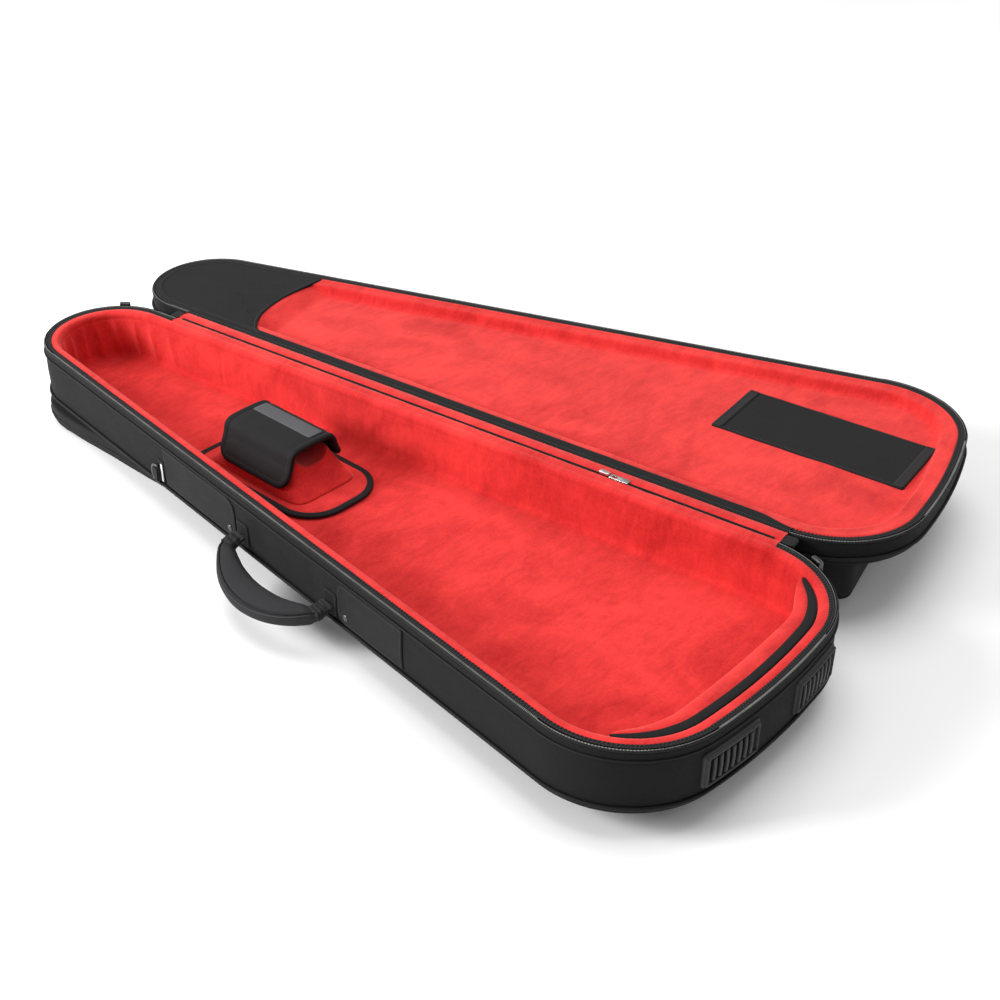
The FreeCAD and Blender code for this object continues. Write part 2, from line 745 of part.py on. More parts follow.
def make_pockets():
    zone = box((pocket_x0, -far_out, 0), (pocket_x1, far_out, 2 * far_out))
    main = slab(-pocket_inset, pocket_low, pocket_high).common(zone)
    main = round_upright(main, pocket_corner_round)
    main = main.makeFillet(pocket_edge_round, level_edges(main, pocket_high))
    save("pocket_main", opened(main))
    stop = pocket_x1 - organiser_butt_inset
    top = pocket_high + organiser_depth
    zone = box((stop - organiser_length, -far_out, 0), (stop, far_out, 2 * far_out))
    small = slab(-pocket_inset - organiser_inset, pocket_high, top).common(zone)
    small = round_upright(small, pocket_corner_round)
    small = small.makeFillet(organiser_edge_round, level_edges(small, top))
    save("pocket_organiser", opened(small))


def make_pocket_zip():
    """Zip along the pocket's near side, with its slider and hanging pull."""
    low = pocket_low + pocket_depth * pocket_zip_share
    coil_out = pocket_inset - 1
    coil = box((pocket_zip[0], coil_out, low), (pocket_zip[1], pocket_inset, low + pocket_zip_width))
    save("pocket_zip_coil", opened(on_near_side(coil)))
    length, thick, width = pocket_slider_size
    out = coil_out - body_gap
    margin = (width - pocket_zip_width) / 2
    start = pocket_slider_start
    slider = box((start, out - thick, low - margin), (start + length, out, low + margin + pocket_zip_width))
    save("pocket_slider", opened(on_near_side(slider)))
    out = out - thick - pull_gap
    middle = start + length / 2
    base = low + pocket_zip_width - 1
    half = pull_width / 2
    pull = box((middle - half, out - pull_thick, base), (middle + half, out, base + pocket_pull_length))
    slot_width, slot_start, slot_end = pull_slot
    slot_low = (middle - slot_width / 2, out - pull_thick - 1, base + slot_start)
    slot_high = (middle + slot_width / 2, out + 1, base + slot_end)
    save("pocket_pull", opened(on_near_side(pull.cut(box(slot_low, slot_high)))))


make_tray()
make_zipper()
make_sliders()
make_lining_slider()
make_cradle()
make_strap()
make_butt_block()
make_handle()
make_side_panels()
make_ring()
make_feet()
make_underside()
make_lid()
make_pockets()
make_pocket_zip()
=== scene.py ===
import json
import math

import bmesh
import bpy
import numpy as np
from mathutils import Matrix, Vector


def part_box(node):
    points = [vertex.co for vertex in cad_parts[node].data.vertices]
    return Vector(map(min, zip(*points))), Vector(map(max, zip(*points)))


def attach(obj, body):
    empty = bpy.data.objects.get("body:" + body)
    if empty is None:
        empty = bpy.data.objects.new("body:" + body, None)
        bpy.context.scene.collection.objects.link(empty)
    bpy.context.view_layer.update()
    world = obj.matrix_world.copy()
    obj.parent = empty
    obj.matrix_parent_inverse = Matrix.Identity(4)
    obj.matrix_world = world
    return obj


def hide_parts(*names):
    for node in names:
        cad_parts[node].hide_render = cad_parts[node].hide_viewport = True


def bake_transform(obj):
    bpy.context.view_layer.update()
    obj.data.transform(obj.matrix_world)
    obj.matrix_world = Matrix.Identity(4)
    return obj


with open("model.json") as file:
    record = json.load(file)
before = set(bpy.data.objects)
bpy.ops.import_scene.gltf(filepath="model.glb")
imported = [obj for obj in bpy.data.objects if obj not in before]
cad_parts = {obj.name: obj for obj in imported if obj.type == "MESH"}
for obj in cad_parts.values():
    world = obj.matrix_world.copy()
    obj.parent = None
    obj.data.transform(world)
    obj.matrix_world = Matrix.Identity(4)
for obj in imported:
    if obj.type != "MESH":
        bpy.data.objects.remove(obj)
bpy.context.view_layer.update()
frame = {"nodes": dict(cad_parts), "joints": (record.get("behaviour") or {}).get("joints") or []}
joints = {joint["name"]: joint for joint in frame["joints"]}
MM = 0.001
TAU = 2 * math.pi
UP = np.array([0, 0, 1.0])
SLANTED = dict(pitch=4.2 * MM, length=3.4 * MM, wide=0.5 * MM, turn=1.25)     # overlocked hem stitches
FINE = dict(pitch=3.2 * MM, length=2.3 * MM)                                  # stitches of a binding


# ---------------------------------------------------------------- places read from the frame
def joint_point(name):
    return np.array(joints[name]["pos_m"], float)


def joint_axis(name):
    return np.array(joints[name]["axis"], float)


def box_of(node):
    """Lowest and highest corner of a CAD node as arrays."""
    low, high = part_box(node)
    return np.array(low), np.array(high)


def points_of(node):
    """All the vertices of a CAD node."""
    data = frame["nodes"][node].data
    co = np.zeros(len(data.vertices) * 3)
    data.vertices.foreach_get("co", co)
    return co.reshape(-1, 3)


hinge_at = joint_point("lid_hinge")
along = joint_axis("lid_hinge")
outward = np.array([-along[1], along[0], 0.0])
near_along = np.array([along[0], -along[1], 0.0])
near_out = np.array([outward[0], -outward[1], 0.0])
head_at = joint_point("head_slider_travel")[:2]
corner_at = joint_point("butt_slider_travel")[:2]
wall_low, wall_high = box_of("side_wall")
head_radius = head_at[0] - wall_low[0]
corner_radius = float(outward[:2] @ (head_at - corner_at)) + head_radius
corner_back = corner_at[0] - wall_high[0]
butt_radius = (corner_radius**2 - corner_back**2 - corner_at[1] ** 2) / (2 * (corner_back + corner_radius))
butt_at = np.array([wall_high[0] - butt_radius, 0.0])
side_offset = float(outward[:2] @ (hinge_at[:2] - head_at)) - head_radius
side_start = hinge_at - outward * side_offset
near_start = np.array([side_start[0], -side_start[1], 0.0])

rim_z = box_of("zipper_tape_tray")[1][2]
tape_z = box_of("zipper_tape_tray")[0][2]
seam_z = box_of("rim_piping")[0][2] + (box_of("rim_piping")[1][2] - box_of("rim_piping")[0][2]) / 2
foot_seam_z = box_of("base_piping")[0][2] + (box_of("base_piping")[1][2] - box_of("base_piping")[0][2]) / 2
base_z = box_of("base_shell")[0][2]
floor_z = box_of("floor_pad")[1][2]
lid_face_z = box_of("zipper_tape_lid")[1][2]
lid_back_z = box_of("lid_shell")[0][2]
lid_seam_z = float(box_of("lid_piping")[0][2] + box_of("lid_piping")[1][2]) / 2
PAD = 20 * MM                     # shell and plush together


# ---------------------------------------------------------------- plain number helpers
def smooth(x, low, high):
    """Smooth step: 0 below low, 1 above high, with a level start and end."""
    t = np.clip((np.asarray(x, float) - low) / (high - low), 0, 1)
    return t * t * (3 - 2 * t)


def ripple(a, b, wavelength, seed, waves=7):
    """Gentle unevenness from -1 to 1: a sum of cosines of two coordinates in metres, with random directions and
    phases and wavelengths near the given one."""
    rng = np.random.default_rng(seed)
    total = np.zeros(np.broadcast(a, b).shape)
    for _ in range(waves):
        angle, phase = rng.uniform(0, TAU, 2)
        length = wavelength * rng.uniform(0.6, 1.6)
        total = total + np.cos(TAU * (a * math.cos(angle) + b * math.sin(angle)) / length + phase)
    return total / math.sqrt(waves) / 1.6


def pleats(run, pitch, seed):
    """Gathered folds from 0 to 1: rounded crests with sharp valleys, the absolute sine of the running length, with
    the pitch made uneven by a slow ripple."""
    uneven = run + 0.35 * pitch * ripple(run, 0 * run, 5 * pitch, seed)
    return np.abs(np.sin(math.pi * uneven / pitch)) ** 0.7


def rounded(points, times=2, closed=False):
    """Corner cutting: each corner of a line is replaced by points a quarter and three quarters of the way along."""
    p = np.asarray(points, float)
    for _ in range(times):
        after = np.roll(p, -1, axis=0)
        cut = np.stack([0.75 * p + 0.25 * after, 0.25 * p + 0.75 * after], axis=1).reshape(-1, p.shape[1])
        p = cut if closed else np.concatenate([p[:1], cut[:-2], p[-1:]])
    return p


def spaced(points, step, closed=False):
    """Points an even distance apart along a line."""
    p = np.asarray(points, float)
    if closed:
        p = np.concatenate([p, p[:1]])
    run = np.concatenate([[0], np.cumsum(np.linalg.norm(np.diff(p, axis=0), axis=1))])
    count = max(2, int(round(run[-1] / step)))
    at = np.linspace(0, run[-1], count + 1)
    out = np.stack([np.interp(at, run, p[:, k]) for k in range(p.shape[1])], axis=1)
    return out[:-1] if closed else out


# ---------------------------------------------------------------- plan paths
def paired(spine):
    """A loop's spine points evened out, so that the two sides of the loop meet there point by point: each is averaged
    with its mirror image about the middle of the low end."""
    rel = spine - spine.mean(axis=0)
    far = rel[np.argmax((rel * rel).sum(axis=1))]
    run = rel @ far
    if run.max() - run.min() < 1e-12:
        return spine
    count = len(spine)
    low = np.flatnonzero(run < run.min() + 1e-9)
    turn = TAU * low / count
    start = math.atan2(np.sin(turn).mean(), np.cos(turn).mean()) / TAU * count
    mirror = (int(round(2 * start)) - np.arange(count)) % count
    return (spine + spine[mirror]) / 2


class Path:
    """A line seen from above, as points, outward normals, running length, and the point inside that each one
    closes towards when a surface is drawn in to the middle."""

    def __init__(self, base, normal, spine, closed=True):
        self.base, self.normal, self.closed = base, normal, closed
        self.spine = paired(spine) if closed else spine
        after = np.roll(base, -1, axis=0)
        step = np.linalg.norm(after - base, axis=1)
        self.run = np.concatenate([[0], np.cumsum(step)[:-1]])
        self.total = float(step.sum() if closed else step[:-1].sum())

    def part(self, keep):
        """The stretch where keep is true, in one piece, as an open path."""
        start = int(np.argmax(keep & ~np.roll(keep, 1)))
        order = (np.arange(len(keep)) + start) % len(keep)
        order = order[keep[order]]
        return Path(self.base[order], self.normal[order], self.spine[order], closed=False)


def bag_outline(step):
    """The bag's outline from the head tip, down the near side and back up the far side. Each arc is its centre plus
    its radius times the outward normal, and each straight side joins two arcs with one normal."""
    lean = math.atan2(along[1], along[0])
    phi = math.atan2(corner_at[1], corner_at[0] - butt_at[0])
    mirror = np.array([corner_at[0], -corner_at[1]])
    arcs = [
        (head_at, head_radius, math.pi, 1.5 * math.pi - lean),
        (mirror, corner_radius, 1.5 * math.pi - lean, TAU - phi),
        (butt_at, butt_radius, -phi, phi),
        (corner_at, corner_radius, phi, math.pi / 2 + lean),
        (head_at, head_radius, math.pi / 2 + lean, math.pi),
    ]
    base, normal = [], []
    for k, (centre, radius, start, stop) in enumerate(arcs):
        count = max(10, int(round(abs(stop - start) * radius / step)))
        angle = start + (stop - start) * (np.arange(count) + 0.5) / count
        n = np.stack([np.cos(angle), np.sin(angle)], axis=1)
        base.append(centre + radius * n)
        normal.append(n)
        if k in (0, 3):
            n = np.array([math.cos(stop), math.sin(stop)])
            a, b = centre + radius * n, arcs[k + 1][0] + arcs[k + 1][1] * n
            count = int(round(np.linalg.norm(b - a) / step))
            t = ((np.arange(count) + 0.5) / count)[:, None]
            base.append(a + (b - a) * t)
            normal.append(np.broadcast_to(n, (count, 2)))
    base, normal = np.concatenate(base), np.concatenate(normal)
    spine = np.stack([np.clip(base[:, 0], head_at[0], corner_at[0]), 0 * base[:, 0]], axis=1)
    return Path(base, normal, spine)


def loop_path(points, step, soften=0.0):
    """A closed line through the points, evenly spaced, with corners softened by averaging over that length."""
    p = spaced(points, step, closed=True)
    if soften:
        width = max(1, int(soften / step))
        kernel = np.ones(width) / width
        wrapped = np.concatenate([p[-width:], p, p[:width]])
        p = np.stack([np.convolve(wrapped[:, k], kernel, "same")[width:-width] for k in range(2)], axis=1)
    tangent = np.roll(p, -1, axis=0) - np.roll(p, 1, axis=0)
    tangent /= np.linalg.norm(tangent, axis=1)[:, None]
    normal = np.stack([tangent[:, 1], -tangent[:, 0]], axis=1)
    after = np.roll(p, -1, axis=0)
    area = float((p[:, 0] * after[:, 1] - after[:, 0] * p[:, 1]).sum())
    if area < 0:
        normal = -normal
    middle = np.broadcast_to(p.mean(axis=0), p.shape)
    return Path(p, normal, middle)


def round_box_path(low, high, radii, step):
    """A rectangle with round corners. radii go round from the low-low corner, counter-clockwise."""
    corners = [
        (low[0], low[1], 1, 1), (high[0], low[1], -1, 1), (high[0], high[1], -1, -1),
        (low[0], high[1], 1, -1)
    ]
    points = []
    for k, ((x, y, sx, sy), r) in enumerate(zip(corners, radii)):
        angle = math.pi * (1 + 0.5 * k) + np.linspace(0, math.pi / 2, 9)
        points.append(np.stack([x + sx * r + r * np.cos(angle), y + sy * r + r * np.sin(angle)], axis=1))
    path = loop_path(np.concatenate(points), step)
    half = min(high[0] - low[0], high[1] - low[1]) / 2
    spine = np.clip(path.base, np.array(low) + half, np.array(high) - half)
    return Path(path.base, path.normal, spine)


def lid_open(points):
    """Half a turn about the hinge line: each point goes as far beyond the line as it was before it."""
    rel = points - hinge_at
    on_line = hinge_at + (rel @ along)[..., None] * along
    return 2 * on_line - points


def lid_path_of(path):
    """A tray path carried over to the open lid."""
    def over(p):
        return lid_open(np.concatenate([p, np.full((len(p), 1), hinge_at[2])], axis=1))[:, :2]

    base = over(path.base)
    return Path(base, over(path.base + path.normal) - base, over(path.spine), path.closed)


tray_path = bag_outline(3.2 * MM)
fine_path = bag_outline(2.4 * MM)
lid_path = lid_path_of(tray_path)
gusset = points_of("hinge_gusset") - hinge_at
gusset_low, gusset_high = (gusset @ along).min(), (gusset @ along).max()
gusset_in, gusset_out = (gusset @ outward).min(), (gusset @ outward).max()


def without_hinge(path, spare=0.0):
    """The part of a tray outline that the hinge strip leaves free."""
    far = (path.normal @ outward[:2] > 0.999) & (path.base[:, 1] > 0)
    run = (path.base - hinge_at[:2]) @ along[:2]
    return path.part(~(far & (run > gusset_low - spare) & (run < gusset_high + spare)))


# ---------------------------------------------------------------- mesh builders
class Skin:
    """Vertices, faces and the surface coordinates of each face corner, in metres."""

    def __init__(self, verts, faces, uvs):
        self.verts, self.faces, self.uvs = verts, faces, uvs


def grid_skin(points, loop_u=False, loop_v=False, ends=False):
    """Quads over a grid of points. A looped direction joins up with its start, and ends closes the first and last
    row of an open one with a face each. The faces are turned to point out of the volume they close."""
    nu, nv = points.shape[:2]
    du = np.linalg.norm(np.roll(points, -1, axis=0) - points, axis=2).mean(axis=1)
    dv = np.linalg.norm(np.roll(points, -1, axis=1) - points, axis=2).mean(axis=0)
    u, v = np.concatenate([[0], np.cumsum(du)]), np.concatenate([[0], np.cumsum(dv)])
    i = np.arange(nu if loop_u else nu - 1)[:, None]
    j = np.arange(nv if loop_v else nv - 1)[None, :]
    i, j = np.broadcast_arrays(i, j)
    i, j = i.ravel(), j.ravel()
    i2, j2 = (i + 1) % nu, (j + 1) % nv
    quads = np.stack([i * nv + j, i2 * nv + j, i2 * nv + j2, i * nv + j2], axis=1)
    uvs = np.stack(
        [
            np.stack([u[i], v[j]], 1), np.stack([u[i + 1], v[j]], 1), np.stack([u[i + 1], v[j + 1]], 1),
            np.stack([u[i], v[j + 1]], 1)
        ],
        axis=1,
    )
    verts = points.reshape(-1, 3)
    faces, corner_uvs = quads.tolist(), list(uvs.reshape(-1, 4, 2))
    if ends:
        rows = [(np.arange(nv)[::-1], 0), (np.arange(nv) + (nu - 1) * nv, nu - 1)]
        for row, k in rows:
            faces.append(row.tolist())
            flat = points[k][::-1] if k == 0 else points[k]
            corner_uvs.append(flat[:, :2] - flat[:, :2].mean(axis=0))
    a, b, c, d = (verts[quads[:, k]] for k in range(4))
    middle = verts.mean(axis=0)
    volume = (
        (a - middle) * np.cross(b - middle, c - middle)
    ).sum() + ((a - middle) * np.cross(c - middle, d - middle)).sum()
    if volume < 0:
        faces = [face[::-1] for face in faces]
        corner_uvs = [uv[::-1] for uv in corner_uvs]
    return Skin(verts, faces, corner_uvs)


def joined(skins):
    """Several skins as one."""
    verts, faces, uvs, start = [], [], [], 0
    for skin in skins:
        verts.append(skin.verts)
        faces += [[index + start for index in face] for face in skin.faces]
        uvs += list(skin.uvs)
        start += len(skin.verts)
    return Skin(np.concatenate(verts), faces, uvs)


def make(name, skin, material, merge=True, crease=None):
    """A mesh object from a skin, with its UV map in metres."""
    mesh = bpy.data.meshes.new(name)
    mesh.from_pydata(skin.verts.tolist(), [], skin.faces)
    layer = mesh.uv_layers.new(name="cloth")
    layer.data.foreach_set("uv", np.concatenate(skin.uvs).astype(np.float32).ravel())
    if merge:
        bm = bmesh.new()
        bm.from_mesh(mesh)
        bmesh.ops.remove_doubles(bm, verts=bm.verts, dist=2e-6)
        bmesh.ops.dissolve_degenerate(bm, edges=bm.edges, dist=1e-7)
        bm.to_mesh(mesh)
        bm.free()
    mesh.polygons.foreach_set("use_smooth", [True] * len(mesh.polygons))
    if crease is not None:
        mesh.set_sharp_from_angle(angle=math.radians(crease))
    mesh.materials.append(material)
    piece = bpy.data.objects.new(name, mesh)
    bpy.context.scene.collection.objects.link(piece)
    return piece


def lay(path, profile, place=None, bend=None):
    """A profile carried along a plan path. Each profile row is (distance outside the path, height, share of the way
    in to the path's middle). bend may change the distances and heights, and place turns the plan point and height
    into a point of the frame."""
    rows = np.asarray(profile, float)
    if rows.shape[1] == 2:
        rows = np.concatenate([rows, np.zeros((len(rows), 1))], axis=1)
    n, k = len(path.base), len(rows)
    off = np.broadcast_to(rows[:, 0], (n, k)).copy()
    high = np.broadcast_to(rows[:, 1], (n, k)).copy()
    share = rows[None, :, 2:3]
    flat = path.base[:, None, :] + path.normal[:, None, :] * off[..., None]
    flat = flat * (1 - share) + path.spine[:, None, :] * share
    if bend is not None:
        more, lift = bend(path, off, high, rows[:, 2], flat)
        flat = flat + path.normal[:, None, :] * more[..., None]
        high = high + lift
    points = np.concatenate([flat, high[..., None]], axis=2)
    return points if place is None else place(points)


def inward(out, high, *shares):
    """Profile rows that draw in towards the path's middle at one distance and height."""
    return [(out, high, share) for share in shares]


def upright(out, low, high, count):
    """Profile rows that climb at one distance."""
    return [(out, z, 0) for z in np.linspace(low, high, count)]


def closed_lay(path, profile, place=None, bend=None):
    """A profile that starts and ends at the path's middle, so that the piece is a closed solid."""
    return grid_skin(lay(path, profile, place, bend), loop_u=True)


def ring_lay(path, profile, place=None, bend=None):
    """A closed profile carried along the path."""
    return grid_skin(lay(path, profile, place, bend), loop_u=path.closed, loop_v=True, ends=not path.closed)


def oval(count, power=2.0):
    """Points round a soft-cornered square of half size one: cosine and sine raised to two over power."""
    a = TAU * np.arange(count) / count
    c, s = np.cos(a), np.sin(a)
    return np.sign(c) * np.abs(c) ** (2 / power), np.sign(s) * np.abs(s) ** (2 / power)


def round_profile(out, high, half_out, half_high, count=12, power=2.0):
    """A closed oval at a place of the profile."""
    x, y = oval(count, power)
    return np.stack([out + half_out * x, high + half_high * y], axis=1)


def tube(line, across, up, half_across, half_up, count=12, power=2.0):
    """An oval section carried along a line, given the sideways and upward direction at each point. The sizes may
    change along the line."""
    x, y = oval(count, power)
    across, up = np.broadcast_to(across, line.shape), np.broadcast_to(up, line.shape)
    wide = np.broadcast_to(half_across, (len(line),))[:, None, None]
    tall = np.broadcast_to(half_up, (len(line),))[:, None, None]
    points = line[:, None, :] + across[:, None, :] * wide * x[
        None, :, None
    ] + up[:, None, :] * tall * y[None, :, None]
    return grid_skin(points, loop_v=True, ends=True)


def repeated(template, faces, centres, forward, up):
    """Copies of a small form, one at each centre, with its own X forward and its Z up."""
    side = np.cross(up, forward)
    verts = (
        centres[:, None, :]
        + template[None, :, 0:1] * forward[:, None, :]
        + template[None, :, 1:2] * side[:, None, :]
        + template[None, :, 2:3] * up[:, None, :]
    )
    count, size = verts.shape[:2]
    every = [[index + k * size for index in face] for k in range(count) for face in faces]
    uvs = [np.asarray([[template[i][0], template[i][1]] for i in face]) for face in faces] * count
    return Skin(verts.reshape(-1, 3), every, uvs)


def capsule_form(length, half_wide, half_tall, sides=6):
    """A stitch: four oval rings along X, small at the ends, with a face at each end."""
    a = TAU * np.arange(sides) / sides
    rings = []
    for x, r, drop in ((-0.5, 0.45, -0.7), (-0.3, 1, 0), (0.3, 1, 0), (0.5, 0.45, -0.7)):
        y, z = half_wide * r * np.cos(a), half_tall * (r * np.sin(a) + drop)
        rings.append(np.stack([np.full(sides, x * length), y, z], axis=1))
    faces = []
    for k in range(3):
        for s in range(sides):
            t = (s + 1) % sides
            faces.append([k * sides + s, k * sides + t, (k + 1) * sides + t, (k + 1) * sides + s][::-1])
    faces.append(list(range(sides)))
    faces.append([3 * sides + s for s in range(sides)][::-1])
    return np.concatenate(rings), [face[::-1] for face in faces]


def stitch_row(
    line, up, closed=False, pitch=3.6 * MM, length=2.6 * MM, wide=0.45 * MM, tall=0.4 * MM, turn=0.0
):
    """Stitches an even distance apart along a line. up is the outward direction of the cloth at each point."""
    both = spaced(np.concatenate([line, np.broadcast_to(up, line.shape)], axis=1), pitch, closed)
    centres, raised = both[:, :3], both[:, 3:]
    raised = raised / np.linalg.norm(raised, axis=1)[:, None]
    ahead = np.roll(centres, -1, axis=0) - np.roll(centres, 1, axis=0)
    if not closed:
        ahead[0], ahead[-1] = centres[1] - centres[0], centres[-1] - centres[-2]
    ahead -= (ahead * raised).sum(axis=1)[:, None] * raised
    ahead /= np.linalg.norm(ahead, axis=1)[:, None]
    side = np.cross(raised, ahead)
    ahead = ahead * math.cos(turn) + side * math.sin(turn)
    form, faces = capsule_form(length, wide, tall)
    return repeated(form, faces, centres, ahead, raised)


def dome(centre, axis, radius, rows, count=24):
    """A turned form: rows of (radius share, height) carried round an axis."""
    axis = axis / np.linalg.norm(axis)
    side = np.cross(axis, [0, 0, 1.0]) if abs(axis[2]) < 0.9 else np.cross(axis, [1.0, 0, 0])
    side /= np.linalg.norm(side)
    other = np.cross(axis, side)
    a = TAU * np.arange(count) / count
    ring = np.cos(a)[:, None] * side + np.sin(a)[:, None] * other
    rows = np.asarray(rows, float)
    points = centre + ring[:, None, :] * (radius * rows[None, :, 0:1]) + axis * rows[None, :, 1:2]
    return grid_skin(points, loop_u=True)


# ---------------------------------------------------------------- materials
class Look:
    """One procedural finish, built as nodes on a Principled shader."""

    def __init__(self, name, rough, metal=0.0, sheen=0.0, sheen_rough=0.5, tint=None, specular=0.5):
        self.material = bpy.data.materials.new(name)
        self.material.use_nodes = True
        self.tree = self.material.node_tree
        self.shader = self.tree.nodes["Principled BSDF"]
        self.set("Roughness", rough)
        self.set("Metallic", metal)
        self.set("Sheen Weight", sheen)
        self.set("Sheen Roughness", sheen_rough)
        self.set("Specular IOR Level", specular)
        if tint is not None:
            self.set("Sheen Tint", (*tint, 1))

    def set(self, socket, value):
        self.shader.inputs[socket].default_value = value

    def add(self, kind):
        return self.tree.nodes.new(kind)

    def link(self, a, b):
        self.tree.links.new(a, b)

    def space(self, scale=(1, 1, 1), cloth=False, turn=0.0):
        """Object coordinates in metres, or the cloth's own UV map in metres, scaled and turned."""
        where = self.add("ShaderNodeUVMap" if cloth else "ShaderNodeTexCoord")
        if cloth:
            where.uv_map = "cloth"
        mapping = self.add("ShaderNodeMapping")
        mapping.inputs["Scale"].default_value = scale
        mapping.inputs["Rotation"].default_value = (0, 0, turn)
        self.link(where.outputs["UV" if cloth else "Object"], mapping.inputs["Vector"])
        return mapping.outputs["Vector"]

    def noise(self, vector, scale, detail=4.0, rough=0.55, distortion=0.0):
        node = self.add("ShaderNodeTexNoise")
        node.inputs["Scale"].default_value = scale
        node.inputs["Detail"].default_value = detail
        node.inputs["Roughness"].default_value = rough
        node.inputs["Distortion"].default_value = distortion
        self.link(vector, node.inputs["Vector"])
        return node.outputs["Fac"]

    def bands(self, vector, period, direction="X", distortion=0.0):
        """Even bands with the given period in metres."""
        node = self.add("ShaderNodeTexWave")
        node.wave_type, node.bands_direction, node.wave_profile = "BANDS", direction, "SIN"
        node.inputs["Scale"].default_value = TAU / 20 / period
        node.inputs["Distortion"].default_value = distortion
        node.inputs["Detail"].default_value = 1.0
        self.link(vector, node.inputs["Vector"])
        return node.outputs["Fac"]

    def maths(self, operation, a, b=None, c=None):
        node = self.add("ShaderNodeMath")
        node.operation = operation
        for k, value in enumerate((a, b, c)):
            if value is None:
                continue
            if isinstance(value, (int, float)):
                node.inputs[k].default_value = value
            else:
                self.link(value, node.inputs[k])
        return node.outputs[0]

    def ramp(self, value, low, high, a=0.0, b=1.0):
        """Maps a value from low..high to a..b, clamped."""
        node = self.add("ShaderNodeMapRange")
        for key, number in (("From Min", low), ("From Max", high), ("To Min", a), ("To Max", b)):
            node.inputs[key].default_value = number
        self.link(value, node.inputs["Value"])
        return node.outputs["Result"]

    def colours(self, value, stops):
        node = self.add("ShaderNodeValToRGB")
        ramp = node.color_ramp
        while len(ramp.elements) < len(stops):
            ramp.elements.new(0.5)
        for element, (position, colour) in zip(ramp.elements, stops):
            element.position, element.color = position, (*colour, 1)
        self.link(value, node.inputs["Fac"])
        return node.outputs["Color"]

    def paint(self, colour):
        self.link(colour, self.shader.inputs["Base Color"])

    def roughness(self, value):
        self.link(value, self.shader.inputs["Roughness"])

    def bump(self, height, depth, strength=1.0, under=None):
        """Raises the surface by height times depth, in metres."""
        node = self.add("ShaderNodeBump")
        node.inputs["Strength"].default_value = strength
        node.inputs["Distance"].default_value = depth
        self.link(height, node.inputs["Height"])
        if under is not None:
            self.link(under, node.inputs["Normal"])
        self.link(node.outputs["Normal"], self.shader.inputs["Normal"])
        return node.outputs["Normal"]


GREY_TINT = (0.6, 0.6, 0.62)


def woven(name, dark, light, period, depth, rough=0.78):
    """Plain weave: two sets of bands over and under each other on the cloth's own map, with uneven dye, faint dust
    and softly polished crowns."""
    look = Look(name, rough, sheen=0.03, tint=GREY_TINT, specular=0.13)
    cloth = look.space(cloth=True)
    warp = look.bands(cloth, period, "X", distortion=0.3)
    weft = look.bands(cloth, period, "Y", distortion=0.3)
    over = look.bands(cloth, 2 * period, "DIAGONAL")
    yarn = look.maths(
        "MAXIMUM", look.maths("MULTIPLY", warp, over),
        look.maths("MULTIPLY", weft, look.maths("SUBTRACT", 1.0, over))
    )
    place = look.space()
    dye = look.noise(place, 14, 5, 0.6)
    fuzz = look.noise(place, 900, 2, 0.5)
    shade = look.maths("MULTIPLY_ADD", yarn, 0.45, look.maths("MULTIPLY", dye, 0.55))
    colour = look.colours(
        look.maths("MULTIPLY_ADD", fuzz, 0.25, look.maths("MULTIPLY", shade, 0.85)),
        [(0.15, dark), (0.85, light)]
    )
    look.paint(colour)
    look.roughness(look.ramp(dye, 0.3, 0.7, rough - 0.07, rough + 0.07))
    soft = look.bump(look.noise(place, 26, 3, 0.5), 1.2 * MM, 0.35)
    look.bump(look.maths("MULTIPLY_ADD", fuzz, 0.3, yarn), depth, 0.6, soft)
    return look.material


def plush_look(name, deep, bright):
    """Short-pile plush: patches of brushing and strokes painted lighter and darker as painted highlight and painted
    shade of the nap, fine pile speckle, and soft rim light from sheen.
    """
    look = Look(name, 0.9, sheen=0.55, sheen_rough=0.45, tint=(1.0, 0.32, 0.28), specular=0.12)
    place = look.space()
    brushed_nap_and_sheen = look.noise(place, 9, 3, 0.5, 1.6)
    stroked_sheen = look.noise(look.space((3.0, 1.0, 1.0), turn=0.5), 30, 4, 0.6, 0.8)
    pile = look.noise(place, 1300, 2, 0.6)
    tuft = look.noise(place, 330, 3, 0.6)
    # Painted highlight and painted shade: the patches of brushing and the strokes swing the colour between a lit red
    # and a shaded red; the tuft and pile speckle is the nap's own tone.
    tone = look.maths("ADD", look.maths("MULTIPLY", brushed_nap_and_sheen, 0.42), look.maths("MULTIPLY", stroked_sheen, 0.28))
    tone = look.maths("ADD", tone, look.maths("MULTIPLY", tuft, 0.18))
    tone = look.maths("ADD", tone, look.maths("MULTIPLY", pile, 0.22))
    look.paint(look.colours(tone, [(0.36, deep), (0.70, bright)]))
    look.roughness(look.ramp(brushed_nap_and_sheen, 0.3, 0.7, 0.95, 0.8))
    soft = look.bump(look.noise(place, 38, 3, 0.5), 1.5 * MM, 0.3)
    look.bump(look.maths("MULTIPLY_ADD", tuft, 0.6, look.maths("MULTIPLY", pile, 0.5)), 0.5 * MM, 0.5, soft)
    return look.material


def ribbed(name, dark, light, period, depth, rough=0.66):
    """Grosgrain or webbing: fine ribs across the tape, with yarn speckle between them."""
    look = Look(name, rough, sheen=0.03, tint=GREY_TINT, specular=0.16)
    cloth = look.space(cloth=True)
    ribs = look.bands(cloth, period, "X", distortion=0.4)
    cross = look.bands(cloth, period * 0.8, "Y", distortion=0.4)
    fuzz = look.noise(look.space(), 800, 2, 0.55)
    wear = look.noise(look.space(), 30, 4, 0.6)
    tone = look.maths("ADD", look.maths("MULTIPLY", ribs, 0.4), look.maths("MULTIPLY", wear, 0.4))
    look.paint(look.colours(look.maths("MULTIPLY_ADD", fuzz, 0.25, tone), [(0.2, dark), (0.9, light)]))
    look.roughness(look.ramp(wear, 0.3, 0.7, rough - 0.08, rough + 0.08))
    look.bump(
        look.maths("MULTIPLY_ADD", cross, 0.35, look.maths("MULTIPLY_ADD", fuzz, 0.3, ribs)), depth, 0.6
    )
    return look.material


